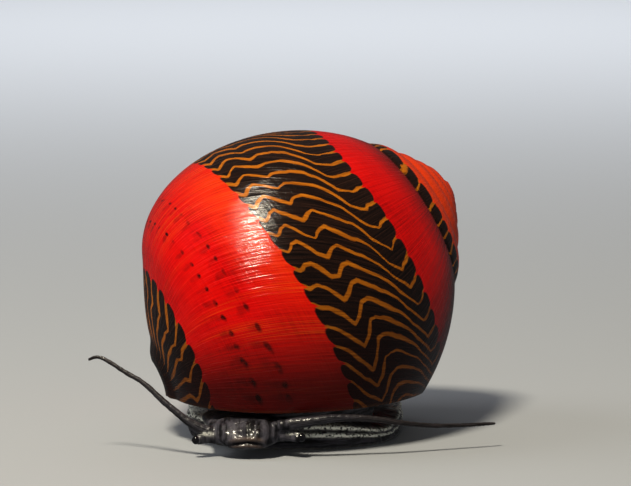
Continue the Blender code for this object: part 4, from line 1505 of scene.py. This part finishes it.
plate = operculum_mesh()
put_points(plate, points_of(plate) * MM)
operculum = bpy.data.objects.new("operculum_plate", plate)
bpy.context.scene.collection.objects.link(operculum)
finished(operculum, operculum_material(), "operculum", "operculum")


# Floor, light and camera
# A plain pale floor under an even grey light. A small warm key light hangs high on the left
# in front, a weak broad one further left, and a weaker one low in front. A wide one behind
# lights the floor as a backdrop. The camera stands level with the photograph's.

FLOOR_SIZE = 3.0
WORLD_LIGHT = 0.08
floor_mesh = bpy.data.meshes.new("floor")
floor_maker = bmesh.new()
bmesh.ops.create_grid(floor_maker, x_segments=1, y_segments=1, size=FLOOR_SIZE)
floor_maker.to_mesh(floor_mesh)
floor_maker.free()
floor = bpy.data.objects.new("floor", floor_mesh)
bpy.context.scene.collection.objects.link(floor)
floor.visible_glossy = False
floor_finish, tree = new_material("matt_floor_paint")
floor_surface = add(
    tree, "ShaderNodeBsdfPrincipled", {"Base Color": linear("#A9ADB3"), "Roughness": 0.85}
)
add(tree, "ShaderNodeOutputMaterial", {0: floor_surface})
floor_mesh.materials.append(floor_finish)

world = bpy.data.worlds.new("studio")
world.use_nodes = True
world.node_tree.nodes["Background"].inputs["Color"].default_value = linear("#DCDDDE")
world.node_tree.nodes["Background"].inputs["Strength"].default_value = WORLD_LIGHT
bpy.context.scene.world = world
bpy.context.scene.view_settings.view_transform = "Standard"

AIM = Vector((0.857, 0.0, 11.9)) * MM


def soft_light(name, direction, distance, size, watts, colour="#FFFFFF", shows=False):
    """A round lamp that faces the snail; only one that shows is mirrored in its gloss."""
    lamp = bpy.data.lights.new(name, "AREA")
    lamp.shape = "DISK"
    lamp.size = size
    lamp.energy = watts
    lamp.color = linear(colour)[:3]
    holder = bpy.data.objects.new(name, lamp)
    holder.location = AIM + Vector(direction).normalized() * distance
    holder.rotation_euler = (-Vector(direction)).to_track_quat("-Z", "Y").to_euler()
    holder.visible_glossy = shows
    bpy.context.scene.collection.objects.link(holder)


soft_light(
    "key_light", (-0.235, -0.405, 0.865), 0.25, size=0.046, watts=0.72, colour="#FFF4DC", shows=True
)
soft_light("top_light", (-0.75, 0.1, 0.65), 0.3, size=0.2, watts=0.22)
soft_light("fill_light", (-0.1, -0.95, 0.12), 0.3, size=0.2, watts=0.07)

BACKDROP_LIGHT_PLACE = (0.0, 0.45, 0.35)
backdrop = bpy.data.lights.new("backdrop_light", "AREA")
backdrop.size = 0.5
backdrop.spread = math.radians(90.0)
backdrop.energy = 1.5
backdrop_holder = bpy.data.objects.new("backdrop_light", backdrop)
backdrop_holder.location = BACKDROP_LIGHT_PLACE
backdrop_holder.visible_glossy = False
bpy.context.scene.collection.objects.link(backdrop_holder)

# 22 cm away and 7 degrees above the floor, with the photograph's field of view
CAMERA_DISTANCE = 220 * MM
CAMERA_RISE = math.radians(7.0)
CAMERA_LENS = 197.7
SENSOR_WIDTH = 36.0
lens = bpy.data.cameras.new("camera")
lens.lens = CAMERA_LENS
lens.sensor_width = SENSOR_WIDTH
lens.clip_start = MM
camera = bpy.data.objects.new("camera", lens)
back = Vector((0.0, -math.cos(CAMERA_RISE), math.sin(CAMERA_RISE)))
camera.location = AIM + back * CAMERA_DISTANCE
camera.rotation_euler = (-back).to_track_quat("-Z", "Y").to_euler()
bpy.context.scene.collection.objects.link(camera)
bpy.context.scene.camera = camera
